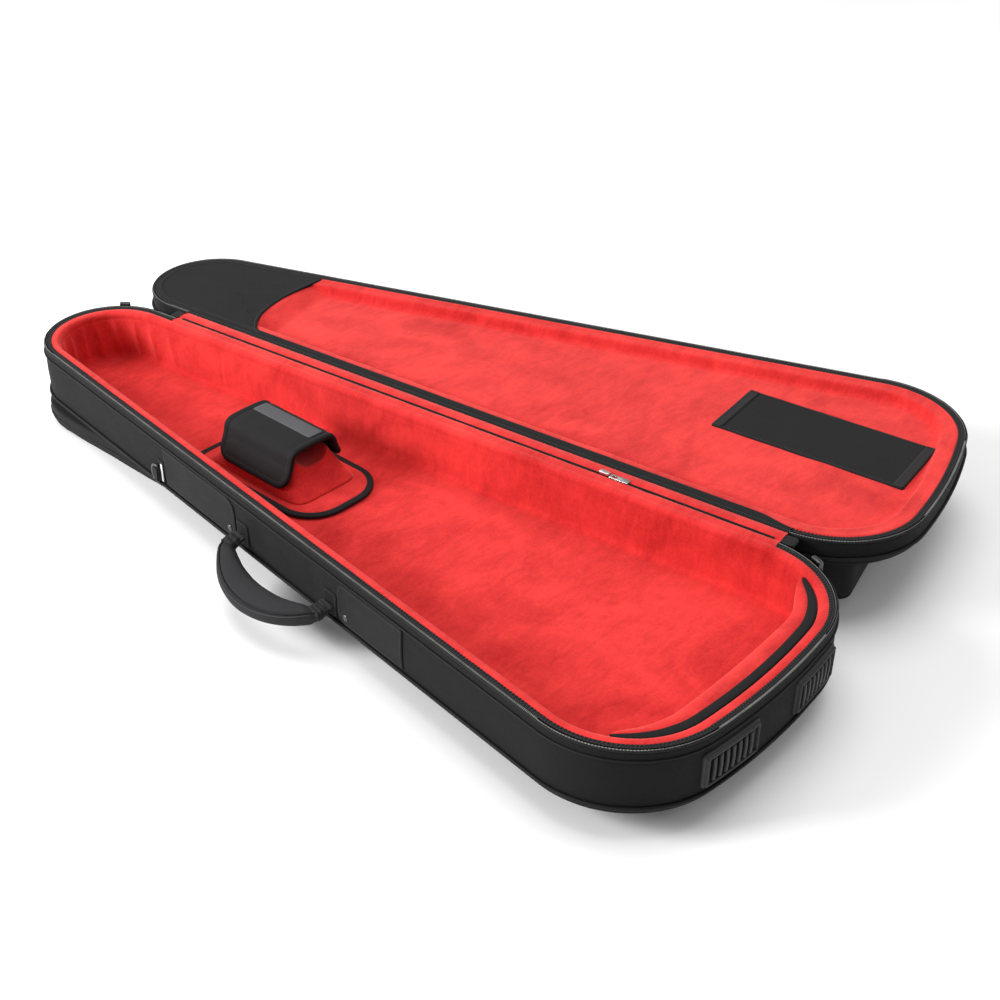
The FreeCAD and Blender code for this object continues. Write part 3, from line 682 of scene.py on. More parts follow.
def metal_look(name, colour, rough):
    """Plated or enamelled metal with faint scratches and handling marks."""
    look = Look(name, rough, metal=1.0)
    place = look.space()
    smear = look.noise(place, 120, 4, 0.6)
    fine = look.noise(look.space((1, 14, 1), turn=0.4), 500, 2, 0.5)
    dark = tuple(0.7 * c for c in colour)
    look.paint(look.colours(smear, [(0.3, dark), (0.65, colour)]))
    look.roughness(
        look.ramp(
            look.maths("ADD", look.maths("MULTIPLY", smear, 0.6), look.maths("MULTIPLY", fine, 0.4)), 0.3,
            0.7, rough, rough + 0.12
        )
    )
    look.bump(fine, 0.05 * MM, 0.3)
    return look.material


def moulded(name, dark, light, rough, depth=0.12 * MM):
    """Moulded rubber or nylon: fine pebble grain with slightly paler worn patches at random."""
    look = Look(name, rough, specular=0.4)
    place = look.space()
    wear = look.noise(place, 45, 4, 0.6)
    pebble = look.noise(place, 700.0, 3, 0.6)
    look.paint(
        look.colours(
            look.maths("MULTIPLY_ADD", pebble, 0.3, look.maths("MULTIPLY", wear, 0.7)),
            [(0.25, dark), (0.8, light)]
        )
    )
    look.roughness(look.ramp(wear, 0.3, 0.7, rough - 0.08, rough + 0.1))
    look.bump(pebble, depth, 0.5)
    return look.material


def mesh_look(name, dark, light):
    """Spacer mesh: a honeycomb of small holes in a knitted face."""
    look = Look(name, 0.85, sheen=0.06, tint=GREY_TINT, specular=0.12)
    cells = look.add("ShaderNodeTexVoronoi")
    cells.inputs["Scale"].default_value = 360.0
    cells.inputs["Randomness"].default_value = 0.15
    look.link(look.space(), cells.inputs["Vector"])
    holes = look.ramp(cells.outputs["Distance"], 0.12, 0.42)
    wear = look.noise(look.space(), 25, 4, 0.6)
    look.paint(
        look.colours(
            look.maths("MULTIPLY", holes, look.maths("MULTIPLY_ADD", wear, 0.5, 0.6)),
            [(0.1, dark), (0.9, light)]
        )
    )
    look.bump(holes, 0.6 * MM, 0.8)
    return look.material


def loop_pile(name, dark, light):
    """Loop fastener tape: a dense field of tiny curls over straight ribs."""
    look = Look(name, 0.95, sheen=0.08, tint=(0.5, 0.5, 0.52), specular=0.1)
    place = look.space()
    curls = look.add("ShaderNodeTexVoronoi")
    curls.inputs["Scale"].default_value = 700.0
    look.link(place, curls.inputs["Vector"])
    ribs = look.bands(look.space(cloth=True), 2.4 * MM, "Y", distortion=1.2)
    wear = look.noise(place, 30, 4, 0.6)
    tone = look.maths("ADD", look.maths("MULTIPLY", ribs, 0.3), look.maths("MULTIPLY", wear, 0.35))
    tone = look.maths("MULTIPLY_ADD", curls.outputs["Distance"], 0.45, tone)
    look.paint(look.colours(tone, [(0.2, dark), (0.95, light)]))
    look.bump(look.maths("MULTIPLY_ADD", ribs, 0.4, curls.outputs["Distance"]), 0.6 * MM, 0.7)
    return look.material


# The plush's deep red is a shaded red and its bright red a lit red: the two ends of its painted shade and painted
# highlight.
RED_DEEP, RED_BRIGHT = (0.36, 0.006, 0.009), (0.76, 0.040, 0.036)
finish = {
    "shell": woven("shell_weave", (0.0015, 0.0015, 0.0017), (0.013, 0.013, 0.0138), 1.1 * MM, 0.3 * MM),
    "panel": woven(
        "panel_weave", (0.005, 0.005, 0.0053), (0.016, 0.016, 0.017), 0.8 * MM, 0.16 * MM, rough=0.72
    ),
    "lid_panel": woven(
        "lid_panel_weave", (0.005, 0.005, 0.0053), (0.018, 0.018, 0.019), 1.0 * MM, 0.2 * MM
    ),
    "pocket": woven("pocket_weave", (0.007, 0.007, 0.0075), (0.019, 0.019, 0.02), 1.0 * MM, 0.2 * MM),
    "strap": woven(
        "strap_weave", (0.006, 0.006, 0.0063), (0.019, 0.019, 0.020), 0.7 * MM, 0.15 * MM, rough=0.75
    ),
    "grip": woven(
        "grip_weave", (0.010, 0.010, 0.0105), (0.030, 0.030, 0.032), 0.8 * MM, 0.15 * MM, rough=0.74
    ),
    "label": woven(
        "label_satin", (0.055, 0.055, 0.058), (0.10, 0.10, 0.105), 0.6 * MM, 0.08 * MM, rough=0.6
    ),
    "plush": plush_look("red_plush", RED_DEEP, RED_BRIGHT),
    "piping": ribbed(
        "piping_cloth", (0.003, 0.003, 0.0032), (0.014, 0.014, 0.015), 1.0 * MM, 0.2 * MM, rough=0.6
    ),
    "tape": ribbed("zipper_tape", (0.004, 0.004, 0.0043), (0.016, 0.016, 0.017), 1.2 * MM, 0.2 * MM),
    "binding": ribbed(
        "grosgrain_binding", (0.003, 0.003, 0.0033), (0.012, 0.012, 0.013), 1.1 * MM, 0.25 * MM
    ),
    "webbing": ribbed(
        "webbing", (0.008, 0.008, 0.0085), (0.026, 0.026, 0.028), 1.6 * MM, 0.35 * MM, rough=0.65
    ),
    "loop": loop_pile("loop_fastener", (0.009, 0.009, 0.0095), (0.034, 0.034, 0.036)),
    "mesh": mesh_look("spacer_mesh", (0.006, 0.006, 0.0065), (0.03, 0.03, 0.032)),
    # The coil is painted a paler grey than the black tape: painted highlight along the coil.
    "teeth": moulded("nylon_coil", (0.06, 0.06, 0.061), (0.20, 0.196, 0.185), 0.38, depth=0.05 * MM),
    "thread": moulded("black_thread", (0.012, 0.012, 0.0125), (0.04, 0.04, 0.042), 0.6),
    "rubber": moulded("bumper_rubber", (0.006, 0.006, 0.0063), (0.016, 0.016, 0.017), 0.5),
    "dark_metal": metal_look("dark_enamel", (0.11, 0.11, 0.113), 0.28),
    "bright_metal": metal_look("nickel_plate", (0.72, 0.71, 0.69), 0.2),
}
bright_strip = Look("reflective_strip", 0.35, specular=0.6)
bright_strip.paint(
    bright_strip.colours(
        bright_strip.noise(bright_strip.space(), 1400, 2, 0.5),
        [(0.3, (0.62, 0.63, 0.64)), (0.7, (0.86, 0.87, 0.88))]
    )
)
bright_strip.bump(bright_strip.bands(bright_strip.space(), 0.8 * MM, "Z"), 0.1 * MM, 0.4)
finish["reflective"] = bright_strip.material


def place_piece(piece, body, nodes=()):
    """Rides the piece on its body, and lets it stand for its CAD nodes."""
    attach(piece, body)
    if nodes:
        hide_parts(*nodes)
    return piece


def put(name, skin, finish_name, body, nodes=(), merge=True, crease=None):
    """A piece made from a skin and placed on its body."""
    return place_piece(make(name, skin, finish[finish_name], merge, crease), body, nodes)


def threads(name, line, up, body, slot, **form):
    """A row of stitches as a piece of its own."""
    put(name, stitch_row(line, up, **form), "thread", body, merge=False)


def softened(node, finish_name, width, body, name=None):
    """A hard CAD part with its sharp edges broken: a merged copy with a bevel."""
    copy = frame["nodes"][node].data.copy()
    bm = bmesh.new()
    bm.from_mesh(copy)
    bmesh.ops.remove_doubles(bm, verts=bm.verts, dist=1e-6)
    bmesh.ops.dissolve_limit(bm, angle_limit=math.radians(1.0), verts=bm.verts, edges=bm.edges)
    for face in bm.faces:
        face.smooth = True
    bm.to_mesh(copy)
    bm.free()
    copy.materials.clear()
    copy.materials.append(finish[finish_name])
    piece = bpy.data.objects.new(name or node + "_finished", copy)
    bpy.context.scene.collection.objects.link(piece)
    bevel = piece.modifiers.new("edges", "BEVEL")
    bevel.width, bevel.segments, bevel.limit_method = width, 3, "ANGLE"
    bevel.angle_limit = math.radians(30)
    bevel.harden_normals = True
    return place_piece(piece, body, [node])


# ---------------------------------------------------------------- tray: shell and lining
wall_top = tape_z - 0.2 * MM
block_low, block_high = box_of("end_block")
anchor_near = points_of("handle_anchor_head") - near_start
anchor_far = points_of("handle_anchor_body") - near_start
hand_start = float((anchor_near @ near_along).max())
hand_stop = float((anchor_far @ near_along).min())


WALL_BELLY, WALL_DENT = 0.7 * MM, 0.55 * MM     # how far the padded wall swells and wavers
HAND_SCOOP = 3.2 * MM                           # depth of the hollow behind the carry handle
HAND_EDGE = 28 * MM                             # length over which the hollow fades in
BOARD = 3.2 * MM                                # thickness of the base
SKIN = 3 * MM                                   # thickness of the shell's cloth and board
FOLD_DEPTH, FOLD_PITCH = 4.2 * MM, 34 * MM      # gathers of the plush round the head end
HEAD_FOLDS = (0.13, 0.21)                       # run from the head tip where they fade out
FAR_SEAM_RUN = 0.262                            # the upright seam of the far wall, run from the head tip


def near_run(flat):
    """Distance along the near side from the head end, for plan points."""
    return (flat - near_start[:2]) @ near_along[:2]


def wall_swell(flat, high):
    """How far the padded wall stands out or in at a place: a slight belly between the seams, slow dents, and a
    scooped hollow behind the carry handle."""
    up = np.clip((high - foot_seam_z) / (seam_z - foot_seam_z), 0, 1)
    belly = np.sin(math.pi * up)
    run = near_run(flat)
    near = smooth(-flat[..., 1], 0.03, 0.07)
    hand = smooth(run, hand_start - 0.004, hand_start + HAND_EDGE) * (
        1 - smooth(run, hand_stop - HAND_EDGE, hand_stop + 0.004)
    ) * near
    butt = smooth(flat[..., 0], 0.52, 0.55)
    dents = ripple(
        flat[..., 0] + flat[..., 1], high, 0.11, 3
    ) + 0.5 * ripple(flat[..., 0], high * 2, 0.05, 4)
    return belly * (WALL_BELLY + WALL_DENT * dents * (1 - butt)) - belly**0.6 * HAND_SCOOP * hand


def shell_bend(path, off, high, share, flat):
    outer = (off > -2.6 * MM) & (share[None, :] == 0)
    return np.where(outer, wall_swell(flat, high), 0), 0 * high


def quarter(centre_out, centre_high, radius, start, stop, count):
    a = np.radians(np.linspace(start, stop, count))
    return [(centre_out + radius * math.cos(t), centre_high + radius * math.sin(t), 0) for t in a]


edge = 12 * MM                    # rounding of the shell's and the lid's long bottom edge
shell_rows = inward(-edge, base_z, 1, 0.85, 0.6, 0.35, 0.15, 0.05)
shell_rows += quarter(-edge, base_z + edge, edge, -90, 0, 8)
shell_rows += [(-0.6 * MM, foot_seam_z - 0.6 * MM, 0), (-0.6 * MM, foot_seam_z + 0.6 * MM, 0)]
shell_rows += upright(0, foot_seam_z + 2.2 * MM, seam_z - 1.6 * MM, 15)
shell_rows += [(-0.5 * MM, seam_z - 0.4 * MM, 0), (-0.5 * MM, seam_z + 0.4 * MM, 0)]
shell_rows += upright(0.3 * MM, seam_z + 1.6 * MM, wall_top - 2 * MM, 5)
shell_rows += quarter(-1.4 * MM, wall_top - 1.6 * MM, 1.6 * MM, 0, 90, 4)
shell_rows += [(-SKIN, wall_top, 0)] + upright(-SKIN, wall_top - 4 * MM, floor_z, 5)
shell_rows += [(-5 * MM, base_z + BOARD, 0)] + inward(-edge, base_z + BOARD, 0, 0.3, 0.7, 1)
tray_shell = put(
    "tray_shell", closed_lay(tray_path, shell_rows, bend=shell_bend), "shell", "tray",
    ["base_shell", "side_wall"]
)

crown_z = rim_z - 0.2 * MM
lining_rows = inward(-6 * MM, base_z + 4 * MM, 1, 0.6, 0.2, 0)
lining_rows += upright(-5.5 * MM, base_z + 8 * MM, tape_z - 4 * MM, 5)
lining_rows += [(-6.4 * MM, tape_z - 0.8 * MM, 0), (-7.4 * MM, tape_z - 0.5 * MM, 0)]
hem = rounded(
    [(-8.2 * MM, tape_z - 0.2 * MM), (-8.6 * MM, crown_z - 0.2 * MM), (-11.5 * MM, crown_z + 0.4 * MM), (-16.8 * MM, crown_z + 0.2 * MM),
     (-PAD - 0.6 * MM, rim_z - 3.2 * MM), (-PAD - 0.5 * MM, rim_z - 13 * MM)], 2)
lining_rows += [(o, z, 0) for o, z in hem]
lining_rows += upright(-PAD - 0.5 * MM, rim_z - 20 * MM, floor_z + 9 * MM, 13)
lining_rows += quarter(-PAD - 8.5 * MM, floor_z + 8 * MM, 8 * MM, 0, -90, 7)
lining_rows += inward(-PAD - 8.5 * MM, floor_z, 0.06, 0.14, 0.24, 0.36, 0.5, 0.65, 0.82, 1)


def lining_bend(path, off, high, share, flat):
    """Vertical folds round the head end, fainter ones along the sides, a soft belly in the wall, a line of stitching
    under the rim, one upright seam on the far wall, and a gently uneven floor."""
    run = path.run[:, None]
    from_head = np.minimum(run, path.total - run)
    down = (rim_z - high) / (rim_z - floor_z)
    inner = off < -PAD + 1 * MM
    wall = smooth(down, 0.02, 0.3) * (1 - smooth(down, 0.86, 1.0)) * inner
    head = 1 - smooth(from_head, *HEAD_FOLDS)
    block = smooth(flat[..., 0], block_low[0] - 0.03, block_low[0] - 0.005)
    folds = FOLD_DEPTH * head * (
        pleats(run + 0.012 * down, FOLD_PITCH, 11) - 0.55
    ) * smooth(down, 0.04, 0.45)
    folds += 1.0 * MM * (1 - head) * (1 - block) * ripple(run, down * 0.08, 0.12, 12)
    belly = -1.2 * MM * np.sin(math.pi * np.clip(down, 0, 1)) * (1 - block)
    seam_at = path.total - FAR_SEAM_RUN
    seam = 1.0 * MM * np.exp(-(((run - seam_at) / (2.6 * MM)) ** 2))
    stitched = 0.9 * MM * np.exp(-(((high - (rim_z - 9 * MM)) / (1.5 * MM)) ** 2)) * inner * (1 - block)
    more = wall * (folds + belly + seam) + stitched
    crown = np.exp(-(((off + 13.5 * MM) / (4 * MM)) ** 2)) * (high > tape_z)
    lift = crown * 0.35 * MM * ripple(run, 0 * run, 0.06, 13)
    floor = (high < floor_z + 1 * MM) & inner
    lift = lift + floor * (0.5 * MM * ripple(flat[..., 0], flat[..., 1], 0.09, 14) - 0.3 * MM)
    return more, lift


tray_lining = put(
    "tray_lining", closed_lay(fine_path, lining_rows, bend=lining_bend), "plush", "tray",
    ["wall_lining", "floor_pad"]
)


def cord_bend(path, off, high, share, flat):
    return 0.15 * MM * ripple(path.run[:, None], 0 * off, 0.03, 21), 0 * high


for node, radius, height in (("base_piping", 1.8 * MM, foot_seam_z), ("rim_piping", 1.2 * MM, seam_z)):
    put(
        node + "_cord",
        ring_lay(tray_path, round_profile(radius - 0.3 * MM, height, radius, radius, 12), bend=cord_bend),
        "piping", "tray", [node]
    )


# ---------------------------------------------------------------- zippers
def edge_line(path, off, height, place=None):
    """A line along a path at one distance and height, and the direction across it."""
    points = lay(path, [(off, height)], place)[:, 0]
    beyond = lay(path, [(off + 1 * MM, height)], place)[:, 0]
    return points, (beyond - points) / MM


def coil_teeth(line, across, up, pitch, width, height):
    """A zipper's coil: one small arched bar for each turn, across the tape."""
    both = spaced(np.concatenate([line, across], axis=1), pitch)
    centres, side = both[:, :3], both[:, 3:]
    side /= np.linalg.norm(side, axis=1)[:, None]
    form, faces = [], []
    for y, z in ((-0.5, -0.35), (-0.3, 0.5), (0.3, 0.5), (0.5, -0.35)):
        for a in range(4):
            t = math.pi / 4 + a * math.pi / 2
            form.append(
                (0.33 * pitch * math.cos(t) * 1.3, y * width, z * height + 0.28 * height * math.sin(t))
            )
    for k in range(3):
        for a in range(4):
            b = (a + 1) % 4
            faces.append([4 * k + a, 4 * k + b, 4 * k + 4 + b, 4 * k + 4 + a])
    faces += [[3, 2, 1, 0], [12, 13, 14, 15]]
    form = np.array(form)
    lifted = np.broadcast_to(up, centres.shape)
    return repeated(form[:, [1, 0, 2]], faces, centres, side, lifted)


MAIN_COIL = (1.9 * MM, 2.4 * MM, 0.9 * MM)     # pitch, width and height of the main zipper's coil
COIL_OUT, COIL_LIFT = -1.7 * MM, 0.55 * MM     # where the coil runs, from the outline and from the tape's face
TAPE_SEAM_OUT = -5.2 * MM
tape_path = without_hinge(tray_path)
tape_rows = rounded(
    [
        (-10.4 * MM, tape_z), (-10.6 * MM, rim_z - 0.2 * MM), (-6 * MM, rim_z - 0.1 * MM),
        (-0.4 * MM, rim_z), (0.5 * MM, rim_z - 0.4 * MM), (0.5 * MM, tape_z - 1 * MM)
    ],
    1, closed=True
)


def tape_bend(path, off, high, share, flat):
    wave = ripple(path.run[:, None], off * 3, 0.05, 31)
    return 0.12 * MM * wave, 0.14 * MM * wave


def zipper(body, prefix, path, face_z, hem_out, hem_lift):
    """The tape, the coil, and the two rows of stitches beside it, on one edge of the opening."""
    put(
        f"zip_tape_{body}", ring_lay(path, tape_rows, bend=tape_bend), "tape", body,
        [f"zipper_tape_{body}"]
    )
    line, across = edge_line(path, COIL_OUT, face_z + COIL_LIFT)
    put(
        f"zip_teeth_{body}", coil_teeth(line, across, UP, *MAIN_COIL), "teeth", body,
        [f"zipper_coil_{body}"], merge=False
    )
    threads(
        prefix + "hem_stitches", edge_line(path, hem_out, face_z + hem_lift)[0], UP, body, "zipper_tape",
        **SLANTED
    )
    threads(
        prefix + "tape_stitches", edge_line(path, TAPE_SEAM_OUT, face_z + 0.05 * MM)[0], UP, body,
        "zipper_tape"
    )


zipper("tray", "", tape_path, rim_z, -8.1 * MM, 0.3 * MM)


def hinge_place(run, across, height):
    """A point by its run along the hinge line, its distance beyond it, and its height."""
    p = hinge_at + run[..., None] * along + across[..., None] * outward
    p[..., 2] = height
    return p


strip_run = np.linspace(gusset_low, gusset_high, 300)
strip_across = np.linspace(gusset_in - 0.6 * MM, gusset_out, 26)
run_grid, across_grid = np.meshgrid(strip_run, strip_across, indexing="ij")
coil_points = points_of("lining_zip_coil") - hinge_at
coil_across = float((coil_points @ outward).mean())
beyond = np.clip((across_grid - coil_across) / (gusset_out - coil_across), 0, 1)
before = np.clip((coil_across - across_grid) / (coil_across - gusset_in), 0, 1)
swell = 1.3 * MM * np.sin(math.pi * beyond) + 0.9 * MM * np.sin(math.pi * before) ** 0.8
swell += 0.35 * MM * ripple(run_grid, across_grid * 2, 0.05, 41) * np.sin(
    math.pi * np.clip(beyond + before, 0, 1)
)
swell -= 0.9 * MM * np.exp(-(((across_grid - coil_across) / (2.0 * MM)) ** 2))
top = hinge_place(run_grid, across_grid, rim_z - 0.2 * MM + swell)
under = hinge_place(run_grid, across_grid, tape_z + 0 * swell)
sheet_points = np.concatenate([top, under[:, ::-1]], axis=1)
hinge_strip = make("hinge_strip", grid_skin(sheet_points, loop_v=True, ends=True), finish["plush"])
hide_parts("hinge_gusset")
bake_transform(hinge_strip)

coil_low, coil_high = float((coil_points @ along).min()), float((coil_points @ along).max())
straight = np.linspace(coil_low, coil_high, 200)
coil_line = hinge_place(straight, np.full_like(straight, coil_across), rim_z + 0.15 * MM)
side_line = np.broadcast_to(outward, coil_line.shape)
strips = [
    tube(coil_line - UP * 0.5 * MM + outward * s * 1.9 * MM, side_line, UP, 1.5 * MM, 0.45 * MM, 8)
    for s in (-1, 1)
]
put(
    "lining_zip", joined(strips + [coil_teeth(coil_line, side_line, UP, 1.5 * MM, 2.2 * MM, 0.9 * MM)]),
    "tape", "tray", ["lining_zip_coil"], merge=False
)
softened("gusset_tab_head", "webbing", 1.2 * MM, "tray", name="hinge_tab_head")
softened("gusset_tab_butt", "webbing", 1.2 * MM, "tray", name="hinge_tab_butt")


# ---------------------------------------------------------------- neck cradle
block_box = box_of("cradle_block")
cradle_points = points_of("cradle_block")
cradle_foot_z, cradle_top_z = block_box[0][2], block_box[1][2]
cradle_x = float(block_box[0][0] + block_box[1][0]) / 2
foot_half = (block_box[1][:2] - block_box[0][:2]) / 2
top_points = cradle_points[cradle_points[:, 2] > cradle_top_z - 0.05 * MM]
top_half = np.array([np.abs(top_points[:, 0] - cradle_x).max(), np.abs(top_points[:, 1]).max()])
groove_half = float(np.abs(top_points[:, 1]).min())
groove_radius = 30 * MM           # the hollow the neck lies in
groove_centre_z = cradle_top_z + math.sqrt(max(groove_radius**2 - groove_half**2, 0))
angle = TAU * (np.arange(160) + 0.5) / 160


def cradle_ring(half, corner):
    """A rectangle with soft corners, as cosine and sine raised to a small power."""
    c, s = np.cos(angle), np.sin(angle)
    return np.stack(
        [cradle_x + half[0] * np.sign(c) * np.abs(c) ** corner, half[1] * np.sign(s) * np.abs(s) ** corner],
        axis=1
    )


rows = []
for t in (1.0, 0.7, 0.35):
    ring = cradle_ring(foot_half * (1 - t) * 0.999, 0.3)
    rows.append(np.concatenate([ring, np.full((160, 1), cradle_foot_z + 0.3 * MM)], axis=1))
for t in np.linspace(0, 1, 22):
    half = top_half + (foot_half - top_half) * (1 - t) ** np.array([1.75, 1.12])
    half = half - 3.5 * MM * smooth(t, 0.9, 1.0) ** 2
    ring = cradle_ring(half, 0.26 + 0.06 * t)
    height = cradle_foot_z + (cradle_top_z - cradle_foot_z) * (1 - (1 - t) ** 1.15)
    dish = 2.5 * MM * math.sin(math.pi * t) * np.abs(np.cos(angle)) ** 3
    ring[:, 0] -= np.sign(np.cos(angle)) * dish
    rows.append(np.concatenate([ring, np.full((160, 1), height)], axis=1))
for t in (0.08, 0.2, 0.35, 0.5, 0.7, 1.0):
    ring = cradle_ring((top_half - 3.5 * MM) * (1 - t), 0.3)
    rows.append(np.concatenate([ring, np.full((160, 1), cradle_top_z)], axis=1))
form = np.stack(rows, axis=1)
y = form[..., 1]
trough = groove_centre_z - np.sqrt(np.clip(groove_radius**2 - y**2, 0, None))
low_top = np.where(np.abs(y) < groove_radius * 0.98, trough, 1.0)
form[..., 2] = np.minimum(form[..., 2], low_top)
form[..., 2] += 0.3 * MM * ripple(form[..., 0], form[..., 1], 0.03, 51) * smooth(
    form[..., 2], cradle_foot_z + 2 * MM, cradle_foot_z + 8 * MM
) * (form[..., 2] < cradle_top_z - 2 * MM)
cradle_pad = put(
    "cradle_pad", grid_skin(form, loop_u=True), "plush", "neck_cradle", ["cradle_block"]
)

plate_low, plate_high = box_of("cradle_binding")
bind = 9 * MM                     # width of the cradle's binding
plate_path = round_box_path(
    plate_low[:2] + bind / 2, plate_high[:2] - bind / 2, [20 * MM, 46 * MM, 46 * MM, 20 * MM], 2.5 * MM
)
plate_mid = float(plate_low[2] + plate_high[2]) / 2


def flange_bend(path, off, high, share, flat):
    lift = 0.35 * MM * ripple(flat[..., 0], flat[..., 1], 0.05, 52) * (high > plate_mid)
    return 0 * off, lift


flange_rows = [(-2 * MM, plate_low[2], t) for t in (1, 0.5, 0)] + [(-1 * MM, plate_mid, 0)] + [
    (-2 * MM, plate_high[2] - 1 * MM, t) for t in (0, 0.1, 0.25, 0.5, 0.8, 1)
]
cradle_flange = put(
    "cradle_plate", closed_lay(plate_path, flange_rows, bend=flange_bend), "plush", "neck_cradle",
    ["cradle_flange"]
)
rows = round_profile(0, plate_mid, bind / 2, (plate_high[2] - plate_low[2]) / 2, 16, 2.6)
put("cradle_edge", ring_lay(plate_path, rows), "binding", "neck_cradle", ["cradle_binding"])
line = lay(plate_path, [(-3.1 * MM, plate_high[2] - 0.35 * MM)])[:, 0]
threads("cradle_stitches", line, UP, "neck_cradle", "binding", closed=True, **FINE)
softened("cradle_loop_patch", "loop", 0.3 * MM, "neck_cradle", name="cradle_fastener")


# ---------------------------------------------------------------- neck strap
pad_high = box_of("neck_strap")[1]
strap_points = points_of("neck_strap")
bound_low, bound_high = box_of("strap_binding_head")[0][0], box_of("strap_binding_butt")[1][0]
near_side = strap_points[strap_points[:, 1] < 0]
far_side = strap_points[strap_points[:, 1] > 0]
near_low_z, far_low_z = near_side[:, 2].min(), far_side[:, 2].min()
top_z = pad_high[2] - 3 * MM


def slope_at(z):
    """Half width of the cradle block at a height."""
    share = (cradle_top_z - z) / (cradle_top_z - cradle_foot_z)
    return top_half[1] + share * (foot_half[1] - top_half[1])


mid_clear = 4.6 * MM              # from the cradle to the middle layer of the strap
STRAP_BIND = 4.2 * MM             # from the strap's edge to the middle of its binding
strap_line = rounded(
    [(-slope_at(near_low_z) - mid_clear, near_low_z), (-slope_at(cradle_top_z - 8 * MM) - mid_clear, cradle_top_z - 8 * MM),
     (-top_half[1] - mid_clear - 0.5 * MM, cradle_top_z), (
         -top_half[1] + 3 * MM - mid_clear, top_z - 1.0 * MM
     ), (-12 * MM, top_z + 0.4 * MM), (12 * MM, top_z + 0.4 * MM),
     (
         top_half[1] - 3 * MM + mid_clear, top_z - 1.0 * MM
     ), (top_half[1] + mid_clear + 0.5 * MM, cradle_top_z), (slope_at(far_low_z) + mid_clear, far_low_z)], 3)
strap_line = spaced(strap_line, 1.6 * MM)
strap_run = np.concatenate([[0], np.cumsum(np.linalg.norm(np.diff(strap_line, axis=0), axis=1))])
step = np.gradient(strap_line, axis=0)
step /= np.linalg.norm(step, axis=1)[:, None]
strap_up = np.stack([-step[:, 1], step[:, 0]], axis=1)
strap_length = strap_run[-1]


def strap_place(x, run, lift):
    """A point on the strap by its place along the neck, its run over the cradle from the near end, and its height
    above the strap's middle layer."""
    y = np.interp(run, strap_run, strap_line[:, 0]) + lift * np.interp(run, strap_run, strap_up[:, 0])
    z = np.interp(run, strap_run, strap_line[:, 1]) + lift * np.interp(run, strap_run, strap_up[:, 1])
    return np.stack([x, y, z], axis=-1)


def strap_cloth(p):
    return strap_place(p[..., 0], p[..., 1], p[..., 2])


strap_path = round_box_path(
    (bound_low + STRAP_BIND, STRAP_BIND), (bound_high - STRAP_BIND, strap_length - STRAP_BIND),
    [15 * MM, 15 * MM, 6 * MM, 6 * MM], 2 * MM
)


def strap_bend(path, off, high, share, flat):
    """Soft padding that thins towards the binding, with two sewn creases across the near flap."""
    edge_off = np.minimum(
        np.minimum(flat[..., 0] - bound_low, bound_high - flat[..., 0]),
        np.minimum(flat[..., 1], strap_length - flat[..., 1])
    )
    full = smooth(edge_off, 4 * MM, 20 * MM)
    crease = sum(np.exp(-(((flat[..., 1] - at) / (1.8 * MM)) ** 2)) for at in (19 * MM, 30 * MM))
    upper = high > 0
    swell = np.where(upper, 1.1 * MM * full - 0.9 * MM * crease * full, 0)
    swell += np.where(upper, 0.3 * MM * ripple(flat[..., 0], flat[..., 1], 0.04, 61) * full, 0)
    return 0 * off, swell


strap_rows = inward(0, -2.4 * MM, 1, 0.9, 0.75, 0.6, 0.45, 0.3, 0.15, 0.04, 0) + [(0.6 * MM, 0, 0)]
strap_rows += inward(0, 2.2 * MM, 0, 0.03, 0.08, 0.14, 0.2, 0.27, 0.35, 0.43, 0.52, 0.61, 0.7, 0.8, 0.9, 1)
strap_pad = put(
    "strap_pad", closed_lay(strap_path, strap_rows, strap_cloth, strap_bend), "strap", "neck_strap_flap",
    ["neck_strap"]
)
rows = round_profile(0, 0, 4.4 * MM, 3.5 * MM, 14, 2.5)
put(
    "strap_edge", ring_lay(strap_path, rows, strap_cloth), "binding", "neck_strap_flap",
    ["strap_binding_head", "strap_binding_butt"]
)
line = lay(strap_path, [(-3.2 * MM, 2.9 * MM)], strap_cloth)[:, 0]
beyond_line = lay(strap_path, [(-3.2 * MM, 3.9 * MM)], strap_cloth)[:, 0]
threads("strap_stitches", line, beyond_line - line, "neck_strap_flap", "binding", closed=True, **FINE)
label_low, label_high = box_of("strap_label")
label_start = float(np.interp(label_low[1], strap_line[:, 0], strap_run))
label_stop = float(np.interp(label_high[1], strap_line[:, 0], strap_run))
label_path = round_box_path(
    (label_low[0], label_start), (label_high[0], label_stop), [2 * MM] * 4, 2.5 * MM
)
rows = [
    (0, 2.6 * MM, 1), (0, 2.6 * MM, 0), (0, 3.6 * MM, 0), (-0.4 * MM, 3.9 * MM, 0),
    (-0.8 * MM, 3.9 * MM, 0.3), (-0.8 * MM, 3.9 * MM, 0.65), (-0.8 * MM, 3.9 * MM, 1)
]
strap_label = put(
    "strap_satin_label", closed_lay(label_path, rows, strap_cloth), "label", "neck_strap_flap",
    ["strap_label"]
)


# ---------------------------------------------------------------- butt block
outer_off = -PAD - 0.9 * MM
block_path = fine_path.part(
    (fine_path.base[:, 0] + fine_path.normal[:, 0] * outer_off > block_low[0] + 2 * MM)
    & (np.abs(fine_path.normal[:, 0]) > 0.02) & (fine_path.base[:, 0] > 0)
)
block_run = block_path.run / block_path.total
taper = np.sin(math.pi * np.clip(block_run, 0.001, 0.999)) ** 0.32
block_wide = 31 * MM * taper
rows = []


def block_skin(off, high):
    """A skin swept round the butt end, by distance outside the outline and height."""
    flat = block_path.base[:, None, :] + block_path.normal[:, None, :] * off[..., None]
    high = np.broadcast_to(high, off.shape)
    return grid_skin(np.concatenate([flat, high[..., None]], axis=2), loop_v=True, ends=True)


